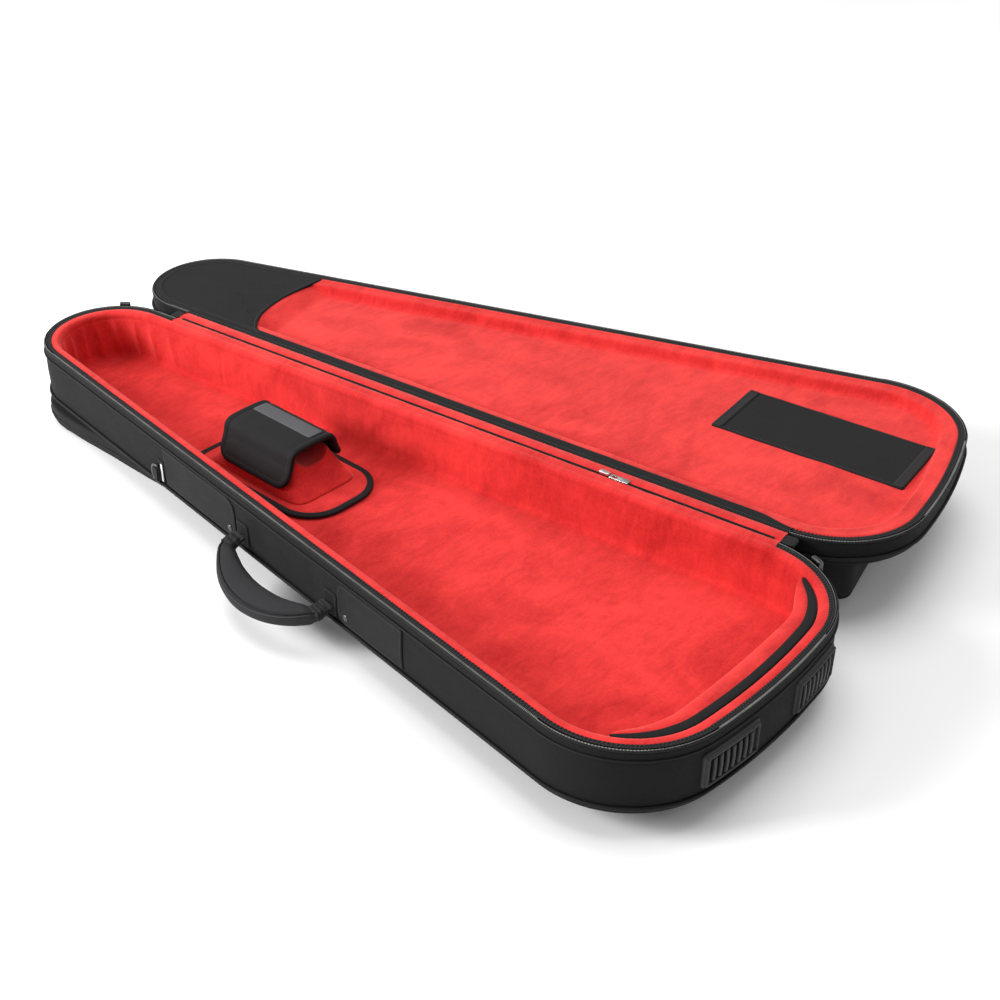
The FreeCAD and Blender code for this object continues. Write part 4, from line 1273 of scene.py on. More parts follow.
profile = rounded(
    [
        (0, 0), (0, 0.5), (0, 0.94), (-0.06, 1.0), (-0.34, 1.0), (-0.6, 1.03), (-0.92, 0.99), (-1.0, 0.9),
        (-0.96, 0.5), (-1.0, 0)
    ],
    2
)
profile = np.concatenate([profile, [(-0.5, 0)]])
off = outer_off + profile[None, :, 0] * block_wide[:, None]
high = block_low[2] + 0.3 * MM + (block_high[2] - block_low[2] - 0.3 * MM) * profile[None, :, 1]
high = high + 0.5 * MM * ripple(block_path.run[:, None], off * 2, 0.05, 71) * (profile[None, :, 1] > 0.8)
butt_pad = put("butt_pad", block_skin(off, high), "plush", "butt_block", ["end_block"])
bind_high = box_of("end_block_binding")[1][2]
section = round_profile(0, 0, 1, 1, 14, 2.6)
bind_half = 5.4 * MM * np.clip(taper * 1.2, 0.3, 1)
off = outer_off - bind_half[:, None] + section[None, :, 0] * bind_half[:, None]
high = (bind_high - 2.0 * MM) + 1.9 * MM * section[None, :, 1]
put("butt_edge", block_skin(off, high), "binding", "butt_block", ["end_block_binding"])


# ---------------------------------------------------------------- carry handle
GRIP_SIDES = 48
GRIP_POWER = 2.5                    # squareness of the grip's section
pivot = joint_point("carry_handle_swing")
grip_rel = points_of("handle_grip") - pivot
radial = np.hypot(grip_rel @ near_out, grip_rel[:, 2])
tip = grip_rel[radial > radial.max() - 2.5 * MM]
grip_out = near_out * float((tip @ near_out).mean()) + UP * float(tip[:, 2].mean())
grip_out /= np.linalg.norm(grip_out)
grip_up = np.cross(near_along, grip_out)
if grip_up[2] < 0:
    grip_up = -grip_up
reach, sideways = grip_rel @ grip_out, grip_rel @ near_along
grip_reach, grip_start = reach.max(), reach.min()
grip_hold = reach[np.abs(sideways) < 12 * MM].min()
grip_half = np.abs(sideways).max()
grip_inner_half = np.abs(sideways[reach < grip_start + 0.5 * MM]).min()
grip_thick = np.abs(grip_rel @ grip_up).max()


def bow(half, start, apex, share):
    """Points on an arc through both ends and the apex: its radius is half the chord squared plus the rise squared,
    over twice the rise."""
    rise = apex - start
    radius = (half * half + rise * rise) / (2 * rise)
    swing = math.asin(min(1, half / radius)) * share
    return radius * np.sin(swing), apex - radius + radius * np.cos(swing)


share = np.linspace(-1, 1, 150)
outer_d, outer_r = bow(grip_half - 1 * MM, grip_start, grip_reach, share)
inner_d, inner_r = bow(grip_inner_half + 1 * MM, grip_start, grip_hold, share)
middle = pivot + np.outer((outer_d + inner_d) / 2, near_along) + np.outer((outer_r + inner_r) / 2, grip_out)
half_vector = np.outer((outer_d - inner_d) / 2, near_along) + np.outer((outer_r - inner_r) / 2, grip_out)
grip_half_wide = np.linalg.norm(half_vector, axis=1)
grip_across = half_vector / grip_half_wide[:, None]
end_pinch = smooth(1 - np.abs(share), 0, 0.16)
section_angle = TAU * np.arange(GRIP_SIDES) / GRIP_SIDES
sx, sy = oval(GRIP_SIDES, GRIP_POWER)
wide = grip_half_wide * (0.9 + 0.1 * end_pinch)
tall = grip_thick * (0.62 + 0.38 * end_pinch)
crumple = 0.5 * MM * ripple(
    share[:, None] * 0.1, section_angle[None, :] * 0.006, 0.016, 81
) * (1 - smooth(1 - np.abs(share), 0.05, 0.3))[:, None]
crumple = crumple + 0.25 * MM * ripple(share[:, None] * 0.1, section_angle[None, :] * 0.008, 0.05, 82)
seam_at = 1.0
notch = sum(
    np.exp(-(((section_angle - at + math.pi) % TAU - math.pi) / 0.07) ** 2)
    for at in (seam_at, TAU - seam_at)
)
swell = crumple - 0.8 * MM * notch[None, :]
grip_points = (
    middle[:, None, :]
    + grip_across[:, None, :] * ((wide[:, None] + swell) * sx[None, :])[..., None]
    + grip_up[None, None, :] * ((tall[:, None] + swell) * sy[None, :])[..., None]
)
grip_pad = put(
    "grip_pad", grid_skin(grip_points, loop_v=True, ends=True), "grip", "carry_handle",
    ["handle_grip"]
)
cords = []
for at in (seam_at, TAU - seam_at):
    cx = np.abs(math.cos(at)) ** (2 / GRIP_POWER) * wide
    cy = np.sign(math.sin(at)) * np.abs(math.sin(at)) ** (2 / GRIP_POWER) * tall
    cord_line = middle + grip_across * cx[:, None] + grip_up[None, :] * cy[:, None]
    cords.append(tube(cord_line, grip_across, grip_up, 1.3 * MM, 1.3 * MM, 8))
put("grip_cord", joined(cords), "piping", "carry_handle")
seam_angle = 0.72
rows = []
for sign in (1, -1):
    cx = math.cos(seam_angle) ** (2 / GRIP_POWER) * wide
    cy = sign * math.sin(seam_angle) ** (2 / GRIP_POWER) * tall
    seam = middle + grip_across * cx[:, None] + grip_up[None, :] * cy[:, None]
    up = grip_across * 0.9 + grip_up[None, :] * sign * 0.45
    rows.append(stitch_row((seam + 0.3 * MM * up)[8:-8], up[8:-8]))
put("grip_stitches", joined(rows), "thread", "carry_handle", merge=False)
for end, side in (("head", -1), ("body", 1)):
    loop_rel = points_of("handle_loop_" + end) - pivot
    loop_middle = float((loop_rel @ near_along).min() + (loop_rel @ near_along).max()) / 2
    t = np.linspace(0, 1, 34)
    reach_line = -1 * MM + (grip_start + 6 * MM) * t
    drift = side * -1 * MM * smooth(t, 0.4, 1)
    sleeve_line = pivot + np.outer(loop_middle + drift, near_along) + np.outer(reach_line, grip_out)
    a = TAU * np.arange(44) / 44
    x, y = oval(44, 2.6)
    half_wide = (10.2 + 0.9 * smooth(t, 0.15, 0.8) - 1.4 * smooth(t, 0.9, 1)) * MM
    half_tall = (2.7 + 4.0 * smooth(t, 0.12, 0.8) - 1.2 * smooth(t, 0.9, 1)) * MM
    fold = 0.9 * MM * ripple(
        t[:, None] * 0.034, a[None, :] * 0.008, 0.010, 86 + side
    ) * (smooth(t, 0, 0.2) * (1 - smooth(t, 0.85, 1)))[:, None]
    points = (
        sleeve_line[:, None, :]
        + near_along[None, None, :] * ((half_wide[:, None] + fold) * x[None, :])[..., None]
        + grip_up[None, None, :] * ((half_tall[:, None] + fold) * y[None, :])[..., None]
    )
    put(
        f"grip_sleeve_{end}", grid_skin(points, loop_v=True, ends=True), "grip", "carry_handle",
        ["handle_loop_" + end]
    )


# ---------------------------------------------------------------- near wall fittings
def wall_place(p):
    """A point of the near wall by its run along the side, its height and how far it stands out from the cloth."""
    plan = near_start[:2] + p[..., 0:1] * near_along[:2]
    out = p[..., 2] + wall_swell(plan, p[..., 1])
    return np.concatenate([plan + out[..., None] * near_out[:2], p[..., 1:2]], axis=-1)


def wall_extent(node):
    rel = points_of(node) - near_start
    run = rel @ near_along
    return run.min(), run.max(), rel[:, 2].min(), rel[:, 2].max()


def wall_patch(name, node, radii, thick, finish_name, slot, stitch_in=3 * MM):
    """A sewn-on patch: a plate that follows the padded wall, with a turned-under edge and a row of stitches."""
    d0, d1, z0, z1 = wall_extent(node)
    path = round_box_path((d0, z0), (d1, z1), radii, 2.5 * MM)
    rows = inward(0, -0.6 * MM, 1, 0.4, 0) + [
        (0, thick * 0.6, 0), (-0.5 * MM, thick, 0), (-1.5 * MM, thick + 0.3 * MM, 0)
    ]
    rows += inward(-3 * MM, thick, 0, 0.08, 0.18, 0.3, 0.45, 0.62, 0.8, 1)

    def patch_bend(path, off, high, share, flat):
        return 0 * off, 0.2 * MM * ripple(flat[..., 0], flat[..., 1], 0.035, 91) * (high > 0)

    piece = put(name, closed_lay(path, rows, wall_place, patch_bend), finish_name, "tray", [node])
    line = lay(path, [(-stitch_in, thick + 0.1 * MM)], wall_place)[:, 0]
    threads(name + "_stitches", line, near_out, "tray", slot, closed=True)
    return piece, (d0, d1, z0, z1)


panel_head, extent = wall_patch(
    "side_patch_head", "side_panel_head", [2 * MM, 18 * MM, 18 * MM, 2 * MM], 1.5 * MM, "panel",
    "panel_cloth"
)
panel_body, extent = wall_patch(
    "side_patch_body", "side_panel_body", [12 * MM, 2 * MM, 2 * MM, 12 * MM], 1.5 * MM, "panel",
    "panel_cloth"
)
for end in ("head", "body"):
    wall_patch(
        f"handle_tab_{end}", "handle_anchor_" + end, [5 * MM] * 4, 1.2 * MM, "shell", "webbing",
        stitch_in=2.4 * MM
    )
    d0, d1, z0, z1 = wall_extent("rivet_" + end)
    centre = wall_place(np.array([(d0 + d1) / 2, (z0 + z1) / 2, 1.6 * MM]))
    rows = [
        (0, -0.8 * MM), (1, -0.8 * MM), (1.06, 0.2 * MM), (1, 0.8 * MM), (0.8, 1.3 * MM), (0.62, 1.1 * MM),
        (0.5, 1.6 * MM), (0.25, 1.9 * MM), (0, 2.0 * MM)
    ]
    put(
        f"rivet_cap_{end}", dome(centre, near_out, (d1 - d0) / 2, rows), "dark_metal", "tray",
        ["rivet_" + end]
    )
softened("ring_tab", "webbing", 0.6 * MM, "tray", name="ring_webbing")
softened("reflective_strip", "reflective", 0.2 * MM, "tray", name="reflective_tape")
frame["nodes"]["d_ring"].data.materials.clear()
frame["nodes"]["d_ring"].data.materials.append(finish["dark_metal"])


RIBS = 7                          # louvres on each foot plate


def butt_place(p):
    """A point of the bowed butt end by its sideways place, its height and how far it stands out."""
    angle = np.arcsin(p[..., 0] / butt_radius)
    r = butt_radius + p[..., 2]
    return np.stack([butt_at[0] + r * np.cos(angle), r * np.sin(angle), p[..., 1]], axis=-1)


for end in ("near", "far"):
    low, high = box_of("foot_plate_" + end)
    y0, y1, z0, z1 = low[1], high[1], low[2], high[2]
    path = round_box_path((y0, z0), (y1, z1), [4 * MM] * 4, 2 * MM)
    rows = [
        (0, -0.8 * MM, 1), (0, -0.8 * MM, 0), (0, 1.2 * MM, 0), (-0.8 * MM, 2.2 * MM, 0),
        (-2.2 * MM, 2.6 * MM, 0), (-2.8 * MM, 4.4 * MM, 0), (-3.6 * MM, 5.4 * MM, 0),
        (-4.8 * MM, 5.4 * MM, 0), (-5.6 * MM, 4.2 * MM, 0), (-6.0 * MM, 2.4 * MM, 0)
    ]
    rows += inward(-6.0 * MM, 2.2 * MM, 0.2, 0.6, 1)
    skins = [closed_lay(path, rows, butt_place)]
    for k in range(RIBS):
        middle_y = y0 + 5 * MM + (k + 1) * (y1 - y0 - 10 * MM) / (RIBS + 1)
        rib = round_box_path(
            (middle_y - 2.6 * MM, z0 + 6.5 * MM), (middle_y + 2.6 * MM, z1 - 6.5 * MM), [2.2 * MM] * 4,
            1.5 * MM
        )

        def rib_place(p):
            """The rib leans: its crest sits to one side, like a louvre."""
            q = p.copy()
            q[..., 0] = p[..., 0] - 1.3 * MM * np.clip(p[..., 2] / (6 * MM), 0, 1)
            bowed = 1 - ((p[..., 1] - (z0 + z1) / 2) / (0.62 * (z1 - z0))) ** 2
            q[..., 2] = p[..., 2] * np.clip(bowed, 0.2, 1) ** 0.4
            return butt_place(q)

        rib_rows = [
            (0, 1.6 * MM, 1), (0, 1.6 * MM, 0), (0.2 * MM, 3 * MM, 0), (-0.4 * MM, 5.2 * MM, 0),
            (-1.2 * MM, 6 * MM, 0), (-1.6 * MM, 6 * MM, 0.6), (-1.6 * MM, 6 * MM, 1)
        ]
        skins.append(closed_lay(rib, rib_rows, rib_place))
    put(f"butt_bumper_{end}", joined(skins), "rubber", "tray", ["foot_plate_" + end], crease=50)


# ---------------------------------------------------------------- under the tray
harness_low, harness_high = box_of("harness_pocket")
half = (harness_high[1] - harness_low[1]) / 2 - 0.5 * MM
harness_path = round_box_path(
    harness_low[:2] + 0.5 * MM, harness_high[:2] - 0.5 * MM, [half, 6 * MM, 6 * MM, half], 4 * MM
)


def harness_bend(path, off, high, share, flat):
    side = (share[None, :] == 0) & (off > -3 * MM)
    lift = np.where(
        (high < 3 * MM) & (share[None, :] > 0.1),
        1.2 * MM + 0.8 * MM * ripple(flat[..., 0], flat[..., 1], 0.07, 101), 0
    )
    return side * 0.6 * MM * ripple(path.run[:, None], high, 0.06, 102), lift


rows = inward(
    -9 * MM, 0.2 * MM, 1, 0.8, 0.6, 0.4, 0.2, 0.08
) + quarter(-9 * MM, 9.2 * MM, 9 * MM, -90, 0, 7)
rows += [
    (-0.8 * MM, 12.6 * MM, 0), (-0.8 * MM, 13.6 * MM, 0), (0, 15 * MM, 0), (0, 20 * MM, 0),
    (-0.6 * MM, base_z - 0.2 * MM, 0)
]
rows += inward(-4 * MM, base_z + 0.4 * MM, 0, 0.5, 1)
harness_pocket = put(
    "harness_pouch", closed_lay(harness_path, rows, bend=harness_bend), "pocket", "tray",
    ["harness_pocket"]
)
rows = round_profile(-0.5 * MM, 13.1 * MM, 1.4 * MM, 1.4 * MM, 10)
put("pouch_cord", ring_lay(harness_path, rows), "piping", "tray")
for end in ("near", "far"):
    softened("harness_tab_" + end, "webbing", 1 * MM, "tray", name=f"harness_strap_{end}")

back_low, back_high = box_of("back_pad")
back_path = round_box_path(back_low[:2], back_high[:2], [60 * MM] * 4, 4 * MM)
back_mid = (back_low + back_high) / 2


def back_bend(path, off, high, share, flat):
    """Channels pressed up into the foam: one along the middle and three across."""
    x, y = flat[..., 0] - back_mid[0], flat[..., 1] - back_mid[1]
    channel = np.exp(-((y / (11 * MM)) ** 2))
    for at in (-0.135, 0.0, 0.135):
        channel = np.maximum(channel, np.exp(-(((x - at) / (7 * MM)) ** 2)))
    under = high < 3 * MM
    return 0 * off, under * (6 * MM * channel * smooth(share[None, :], 0.02, 0.12) + 0.3 * MM)


rows = [(-10 * MM, 0, t) for t in np.linspace(1, 0.03, 34)] + quarter(-10 * MM, 10 * MM, 10 * MM, -90, 0, 7)
rows += [(0, 18 * MM, 0), (-0.8 * MM, base_z - 0.3 * MM, 0)] + inward(-4 * MM, base_z + 0.4 * MM, 0, 0.5, 1)
back_cushion = put(
    "back_cushion", closed_lay(back_path, rows, bend=back_bend), "mesh", "tray", ["back_pad"]
)
rows = round_profile(0.2 * MM, 14 * MM, 1.5 * MM, 1.5 * MM, 10)
put("back_cord", ring_lay(back_path, rows), "piping", "tray")


# ---------------------------------------------------------------- lid
def lid_run(flat):
    """Plan points of the open lid taken back to where they lie when it is shut."""
    return lid_open(np.concatenate([flat, np.full(flat.shape[:-1] + (1,), hinge_at[2])], axis=-1))[..., :2]


def lid_shell_bend(path, off, high, share, flat):
    shut = lid_run(flat)
    outer = (off > -2.6 * MM) & (share[None, :] == 0) & (high > lid_back_z + 4 * MM)
    dents = ripple(shut[..., 0] + shut[..., 1], high, 0.1, 111)
    back = (high < lid_back_z + 1 * MM) & (share[None, :] > 0)
    return outer * 0.35 * MM * dents, back * 0.5 * MM * (1 + ripple(shut[..., 0], shut[..., 1], 0.12, 112))


rows = inward(-edge, lid_back_z, 1, 0.85, 0.6, 0.35, 0.15, 0.05)
rows += quarter(-edge, lid_back_z + edge, edge, -90, 0, 8)
rows += [(-0.6 * MM, lid_seam_z - 0.5 * MM, 0), (-0.6 * MM, lid_seam_z + 0.5 * MM, 0)]
rows += upright(0.2 * MM, lid_seam_z + 2 * MM, tape_z - 2 * MM, 7)
rows += quarter(-1.5 * MM, tape_z - 1.7 * MM, 1.6 * MM, 0, 90, 4)
rows += [
    (-3 * MM, tape_z - 0.2 * MM, 0), (-3 * MM, lid_back_z + edge, 0), (-5 * MM, lid_back_z + 5 * MM, 0)
]
rows += inward(-edge, lid_back_z + 3 * MM, 0, 0.4, 1)
lid_shell = put(
    "lid_cover", closed_lay(lid_path, rows, bend=lid_shell_bend), "shell", "lid",
    ["lid_shell", "lid_band"]
)
put(
    "lid_cord", ring_lay(lid_path, round_profile(1.5 * MM, lid_seam_z, 1.8 * MM, 1.8 * MM, 12)), "piping",
    "lid", ["lid_piping"]
)

panel_points = lid_open(points_of("lid_head_panel"))
panel_x = float(panel_points[:, 0].max())
dish_z = float(box_of("lid_bridge_patch")[0][2])
ledge_z = tape_z + 0.6 * MM
fine_lid = lid_path_of(fine_path)


def lid_lining_bend(path, off, high, share, flat):
    """The dish fades out towards the head panel, and the plush under the head panel sinks a little. The plush inside
    the rim is slightly uneven."""
    shut = lid_run(flat)
    dish = smooth(shut[..., 0], panel_x + 0.005, panel_x + 0.045)
    sunk = (off < -27 * MM) & (high > lid_back_z + 8 * MM)
    lift = np.where(sunk, (1 - dish) * (ledge_z - high), 0)
    upper = high > lid_back_z + 8 * MM
    lift = lift - upper * 1.1 * MM * (1 - smooth(shut[..., 0], panel_x - 50 * MM, panel_x - 30 * MM))
    inside = upper & (off < -12 * MM)
    lift = lift + inside * (
        0.55 * MM * ripple(shut[..., 0], shut[..., 1], 0.16, 121)
        + 0.3 * MM * ripple(shut[..., 0], shut[..., 1], 0.05, 122)
    )
    return 0 * off, lift


rows = inward(-edge, lid_back_z + 4 * MM, 1, 0.5, 0) + [
    (-5 * MM, lid_back_z + edge, 0), (-4.5 * MM, tape_z - 3 * MM, 0)
]
hem = rounded([(-6 * MM, tape_z - 0.8 * MM), (-9.8 * MM, tape_z - 0.3 * MM), (-10.6 * MM, ledge_z + 0.8 * MM), (-14 * MM, ledge_z + 1.2 * MM), (-19 * MM, ledge_z + 0.2 * MM), (-25 * MM, ledge_z),
               (
                   -29 * MM, ledge_z - 0.6 * MM
               ), (-31 * MM, ledge_z - 5 * MM), (-33 * MM, dish_z + 1.5 * MM), (-38 * MM, dish_z)], 2)
rows += [(o, z, 0) for o, z in hem]
rows += inward(-38 * MM, dish_z, 0.04, 0.09, 0.15, 0.22, 0.3, 0.38, 0.47, 0.56, 0.66, 0.77, 0.88, 1)
lid_lining = put(
    "lid_plush", closed_lay(fine_lid, rows, bend=lid_lining_bend), "plush", "lid", ["lid_lining"]
)

lid_tape_path = lid_path_of(tape_path)
zipper("lid", "lid_", lid_tape_path, lid_face_z, -9.9 * MM, 0.1 * MM)

band_rel = points_of("lid_hinge_tape") - hinge_at
band_in, band_out = (band_rel @ outward).min(), (band_rel @ outward).max()
band_low, band_high = (band_rel @ along).min(), (band_rel @ along).max()
band_share = np.array([0, 0, 0.04, 0.12, 0.24, 0.34, 0.38, 0.42, 0.52, 0.68, 0.84, 0.94, 1.0, 1.0, 0.5])
band_lift = np.array([-2.2, 0.1, 0.9, 1.5, 1.6, 1.0, 0.5, 0.9, 1.3, 1.35, 1.1, 0.8, 0.3, -1.2, -2.2]) * MM
band_run = np.linspace(band_low, band_high, 360)
band_full = smooth(np.minimum(band_run - band_low, band_high - band_run), 0, 45 * MM)
band_width = 10.6 * MM + (band_out - band_in - 10.6 * MM) * band_full
r = np.repeat(band_run[:, None], len(band_share), axis=1)
a = band_in + band_width[:, None] * band_share[None, :]
z = tape_z + 1.3 * MM + band_lift[None, :] + 0.2 * MM * ripple(r, a * 2, 0.04, 131)
put(
    "hinge_band", grid_skin(hinge_place(r, a, z), loop_v=True, ends=True), "binding", "lid",
    ["lid_hinge_tape"]
)
rows = []
for at in (0.2, 0.9):
    line = hinge_place(band_run, band_in + band_width * at, tape_z + 2.9 * MM - 0.5 * MM * at)
    rows.append(stitch_row(line, UP))
put("band_stitches", joined(rows), "thread", "lid", merge=False)


def panel_edge(across):
    """How far along the hinge line the head panel reaches, at a distance across the lid from that line: nearly square
    to it, easing towards the butt at the free side and flaring towards the butt beside the hinge."""
    eased = np.clip(across - 120 * MM, 0, None) / (100 * MM)
    return 184 * MM + 8.5 * MM * eased**1.5 + 40 * MM * np.exp(-(across - 29 * MM) / (33 * MM))


shut_line = fine_path.base - fine_path.normal * 9.4 * MM
shut_rel = shut_line - hinge_at[:2]
keep = shut_rel @ along[:2] < panel_edge(-(shut_rel @ outward[:2]))
cut = Path(shut_line, fine_path.normal, fine_path.spine).part(keep).base
ends = -((cut[[-1, 0]] - hinge_at[:2]) @ outward[:2])
across = np.linspace(ends[0], ends[1], 60)[1:-1]
edge_curve = hinge_at[:2] + np.outer(panel_edge(across), along[:2]) - np.outer(across, outward[:2])
panel_path = lid_path_of(loop_path(np.concatenate([cut, edge_curve]), 3 * MM, soften=6 * MM))


def panel_bend(path, off, high, share, flat):
    shut = lid_run(flat)
    return 0 * off, (high > tape_z + 0.5 * MM) * 0.4 * MM * ripple(shut[..., 0], shut[..., 1], 0.06, 141)


rows = inward(0, tape_z - 1.5 * MM, 1, 0.5, 0) + [
    (0.4 * MM, ledge_z + 0.8 * MM, 0), (-0.4 * MM, ledge_z + 1.8 * MM, 0),
    (-2.4 * MM, ledge_z + 2.0 * MM, 0), (-4 * MM, ledge_z + 1.5 * MM, 0)
]
rows += inward(-5 * MM, ledge_z + 1.5 * MM, 0.05, 0.12, 0.2, 0.3, 0.42, 0.55, 0.7, 0.85, 1)
head_panel = put(
    "head_panel", closed_lay(panel_path, rows, bend=panel_bend), "lid_panel", "lid",
    ["lid_head_panel"]
)
line = lay(panel_path, [(-3.2 * MM, ledge_z + 1.95 * MM)])[:, 0]
threads("panel_stitches", line, UP, "lid", "panel_cloth", closed=True)


def hinge_flat(p):
    """A point of the open lid by its run along the hinge line, its distance beyond it, and its height."""
    return hinge_place(p[..., 0], p[..., 1], p[..., 2])


bridge_rel = points_of("lid_bridge_patch") - hinge_at
b0, b1 = float((bridge_rel @ along).min()), float((bridge_rel @ along).max())
w0, w1 = float((bridge_rel @ outward).min()), float((bridge_rel @ outward).max())
skins, sewn = [], []
bridge_path = round_box_path((b0, w0), (b1, w1), [3 * MM] * 4, 2.5 * MM)


def bridge_bend(path, off, high, share, flat):
    return 0 * off, (high > dish_z + 0.6 * MM) * 0.35 * MM * ripple(flat[..., 0], flat[..., 1], 0.07, 151)


rows = inward(0, dish_z - 1.5 * MM, 1, 0.5, 0) + [
    (0, dish_z + 0.9 * MM, 0), (-0.5 * MM, dish_z + 1.5 * MM, 0), (-1.6 * MM, dish_z + 1.7 * MM, 0)
]
rows += inward(-2.5 * MM, dish_z + 1.5 * MM, 0, 0.1, 0.22, 0.36, 0.5, 0.66, 0.82, 1)
bridge_patch = put(
    "bridge_patch", closed_lay(bridge_path, rows, hinge_flat, bridge_bend), "lid_panel", "lid",
    ["lid_bridge_patch"]
)
line = lay(bridge_path, [(-2.6 * MM, dish_z + 1.75 * MM)], hinge_flat)[:, 0]
sewn.append(stitch_row(line, UP, closed=True))
strip = 13 * MM                   # width of the webbing along the patch's ends
for start in (b0 + 0.8 * MM, b1 - strip - 0.8 * MM):
    path = round_box_path((start, w0 + 1 * MM), (start + strip, w1 - 1 * MM), [2 * MM] * 4, 2.5 * MM)
    rows = [
        (0, dish_z + 1.0 * MM, 1), (0, dish_z + 1.0 * MM, 0), (0, dish_z + 2.3 * MM, 0),
        (-0.8 * MM, dish_z + 2.8 * MM, 0), (-1.6 * MM, dish_z + 2.8 * MM, 0.4),
        (-1.6 * MM, dish_z + 2.8 * MM, 1)
    ]
    skins.append(closed_lay(path, rows, hinge_flat, bridge_bend))
    line = lay(path, [(-2.4 * MM, dish_z + 2.85 * MM)], hinge_flat)[:, 0]
    sewn.append(stitch_row(line, UP, closed=True))
put("bridge_strips", joined(skins), "webbing", "lid")
put("bridge_stitches", joined(sewn), "thread", "lid", merge=False)


# ---------------------------------------------------------------- lid pockets
def shut_box(node):
    """The extent of a lid node where it lies when the lid is shut."""
    p = lid_open(points_of(node))
    return p.min(axis=0), p.max(axis=0)


POCKET_SPINE_IN = 0.12              # how far inside its ends a pocket's middle line stops


def pocket_outline(offset, x0, x1, soften):
    """The bag's outline moved inward and cut straight across at two places, carried to the open lid."""
    line = tray_path.base + tray_path.normal * offset
    line = line[(line[:, 0] > x0) & (line[:, 0] < x1)]
    near, far = line[line[:, 1] < 0], line[line[:, 1] > 0]
    near, far = near[np.argsort(near[:, 0])], far[np.argsort(-far[:, 0])]
    path = loop_path(np.concatenate([near, far]), 4 * MM, soften=soften)
    spine = np.stack(
        [np.clip(path.base[:, 0], x0 + POCKET_SPINE_IN, x1 - POCKET_SPINE_IN), 0 * path.base[:, 0]], axis=1
    )
    return lid_path_of(Path(path.base, path.normal, spine))


def pocket_piece(name, node, offset, seed, round_low, soften, belly, sag):
    """A stuffed pocket: sides that belly out between its seams, a puckered edge and a slack outer face."""
    low, high = box_of(node)
    shut_low, shut_high = shut_box(node)
    path = pocket_outline(offset, shut_low[0], shut_high[0], soften)
    z0, z1 = low[2] - sag, high[2]

    def pocket_bend(path, off, high, share, flat):
        shut = lid_run(flat)
        side = (share[None, :] == 0) & (off > -round_low - 1 * MM)
        up = np.clip((high - z0) / (z1 - z0), 0, 1)
        out = side * np.sin(math.pi * up) * (belly + 1.1 * MM * ripple(path.run[:, None], high, 0.06, seed))
        out = out + side * 0.5 * MM * (
            pleats(path.run[:, None] + 0 * off, 17 * MM, seed + 2) - 0.5
        ) * np.exp(-up * 5)
        face = (high < z0 + 1 * MM) & (share[None, :] > 0)
        return out, face * (0.9 * MM + 0.9 * MM * ripple(shut[..., 0], shut[..., 1], 0.09, seed + 1))

    rows = inward(-round_low, z0 + 0.2 * MM, 1, 0.85, 0.7, 0.55, 0.4, 0.28, 0.18, 0.1, 0.04)
    rows += quarter(-round_low, z0 + round_low + 0.2 * MM, round_low, -90, 0, 6)
    rows += upright(0, z0 + round_low + 2 * MM, z1 - 1 * MM, 8) + inward(-2 * MM, z1 + 0.6 * MM, 0, 0.5, 1)
    piece = put(name, closed_lay(path, rows, bend=pocket_bend), "pocket", "lid", [node])
    put(
        name + "_cord",
        ring_lay(
            path, round_profile(-round_low * 0.3 + 0.9 * MM, z0 + round_low * 0.3, 1.4 * MM, 1.4 * MM, 10)
        ),
        "piping", "lid"
    )
    return path


pocket_piece("stuffed_pocket", "pocket_main", -18 * MM, 161, 8 * MM, 22 * MM, 0.8 * MM, 8 * MM)
pocket_piece("organiser_pocket", "pocket_organiser", -52 * MM, 171, 6 * MM, 20 * MM, 0.6 * MM, 0)

zip_axis = joint_axis("pocket_slider_travel")
coil = points_of("pocket_zip_coil")
coil_mid = (coil.min(axis=0) + coil.max(axis=0)) / 2
zip_out = np.array([-zip_axis[1], zip_axis[0], 0.0])
if zip_out @ (coil_mid - lid_open(np.array([0.2, 0.0, hinge_at[2]]))) < 0:
    zip_out = -zip_out
run = (coil - coil_mid) @ zip_axis
line = coil_mid + np.outer(np.linspace(run.min(), run.max(), 200), zip_axis) + zip_out * 0.6 * MM
side = np.broadcast_to(UP, line.shape)
strips = [
    tube(line + UP * s * 5 * MM - zip_out * 0.4 * MM, side, zip_out, 4.2 * MM, 0.6 * MM, 10, 3)
    for s in (-1, 1)
]
put("pocket_zip_tape", joined(strips), "tape", "lid")
put(
    "pocket_zip_teeth", coil_teeth(line, side, zip_out, 1.9 * MM, 3.4 * MM, 1.0 * MM), "teeth", "lid",
    ["pocket_zip_coil"], merge=False
)


# ---------------------------------------------------------------- sliders and pulls
for node, body, metal in (
    ("slider_head", "head_slider", "dark_metal"),
    ("slider_pull_head", "head_pull", "dark_metal"),
    ("slider_butt", "butt_slider", "dark_metal"),
    ("slider_pull_butt", "butt_pull", "dark_metal"),
    ("lining_slider", "gusset_slider", "bright_metal"),
    ("lining_pull", "gusset_pull", "bright_metal"),
    ("pocket_slider", "pocket_zip_slider", "dark_metal"),
    ("pocket_pull", "pocket_zip_pull", "dark_metal"),
):
    softened(node, metal, 0.5 * MM, body)


# ---------------------------------------------------------------- floor, light and camera
floor_mesh = bpy.data.meshes.new("studio_floor")
floor_mesh.from_pydata([(-9, -9, 0), (9, -9, 0), (9, 9, 0), (-9, 9, 0)], [], [(0, 1, 2, 3)])
paper = Look("studio_paper", 0.9, specular=0.2)
paper.paint(
    paper.colours(
        paper.noise(paper.space(), 2.0, 3, 0.5), [(0.3, (0.86, 0.86, 0.86)), (0.7, (0.9, 0.9, 0.9))]
    )
)
floor_mesh.materials.append(paper.material)
studio_floor = bpy.data.objects.new("studio_floor", floor_mesh)
bpy.context.scene.collection.objects.link(studio_floor)

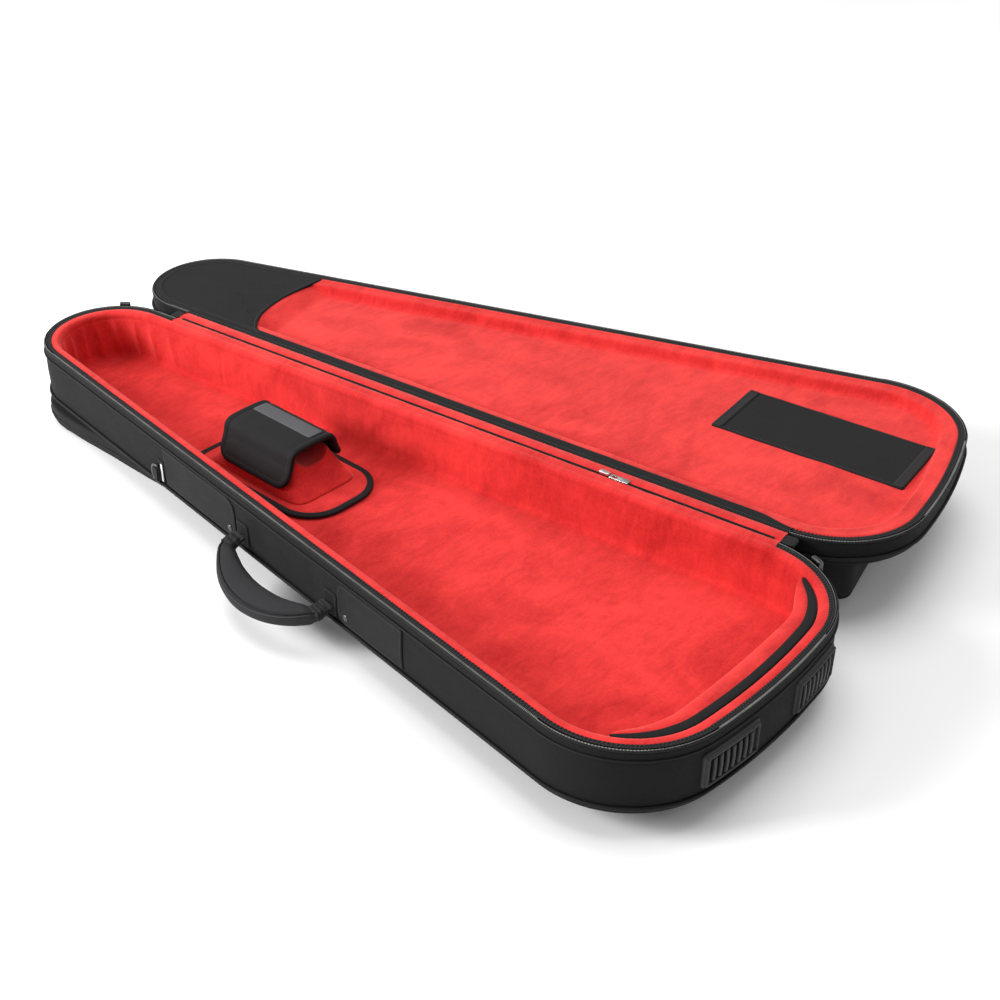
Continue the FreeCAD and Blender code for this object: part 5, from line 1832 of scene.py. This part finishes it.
WORLD_STRENGTH = 0.45
KEY_WATTS, SIDE_WATTS = 135, 8
SKY_STRENGTH, SKY_SPREAD = 1.75, 50      # watts per square metre, degrees across
SKY_TILT = (-12, -10)                    # degrees about X and Y
LENS, SENSOR = 53.41, 36.0               # mm
CAMERA_AT = (1.0801, -0.9851, 1.0229)
CAMERA_TURN, CAMERA_RISE, CAMERA_ROLL = 41.356, 33.433, 0.776     # degrees

world = bpy.data.worlds.new("studio")
world.use_nodes = True
world.node_tree.nodes["Background"].inputs["Color"].default_value = (1.0, 1.0, 1.0, 1)
world.node_tree.nodes["Background"].inputs["Strength"].default_value = WORLD_STRENGTH
bpy.context.scene.world = world


def aimed(back, place, roll=0.0):
    """The matrix of a lamp or camera at a place, by the direction behind it and its roll."""
    side = np.cross(UP, back)
    side /= np.linalg.norm(side)
    up = np.cross(back, side)
    matrix = np.eye(4)
    matrix[:3, 0] = math.cos(roll) * side + math.sin(roll) * up
    matrix[:3, 1] = -math.sin(roll) * side + math.cos(roll) * up
    matrix[:3, 2], matrix[:3, 3] = back, place
    return Matrix(matrix.tolist())


def soft_box(name, place, target, size, power):
    """A square studio light at a place, turned to a target."""
    data = bpy.data.lights.new(name, "AREA")
    data.shape, data.size, data.energy = "SQUARE", size, power
    lamp = bpy.data.objects.new(name, data)
    bpy.context.scene.collection.objects.link(lamp)
    back = np.array(place, float) - np.array(target, float)
    lamp.matrix_world = aimed(back / np.linalg.norm(back), place)


soft_box("key", (-1.7, -2.3, 1.5), (0, 0.1, 0.05), 1.2, KEY_WATTS)
sky_data = bpy.data.lights.new("overhead", "SUN")
sky_data.energy, sky_data.angle = SKY_STRENGTH, math.radians(SKY_SPREAD)
sky = bpy.data.objects.new("overhead", sky_data)
sky.rotation_euler = (math.radians(SKY_TILT[0]), math.radians(SKY_TILT[1]), 0)
bpy.context.scene.collection.objects.link(sky)
soft_box("side", (2.2, 1.6, 2.0), (0.2, 0, 0.05), 1.2, SIDE_WATTS)

camera_data = bpy.data.cameras.new("camera")
camera_data.lens, camera_data.sensor_width = LENS, SENSOR
camera_data.clip_start, camera_data.clip_end = 0.05, 60
camera = bpy.data.objects.new("camera", camera_data)
bpy.context.scene.collection.objects.link(camera)
turn, rise, roll = (math.radians(angle) for angle in (CAMERA_TURN, CAMERA_RISE, CAMERA_ROLL))
back = np.array([math.sin(turn) * math.cos(rise), -math.cos(turn) * math.cos(rise), math.sin(rise)])
camera.matrix_world = aimed(back, CAMERA_AT, roll)
bpy.context.scene.camera = camera
bpy.context.scene.view_settings.view_transform = "Standard"
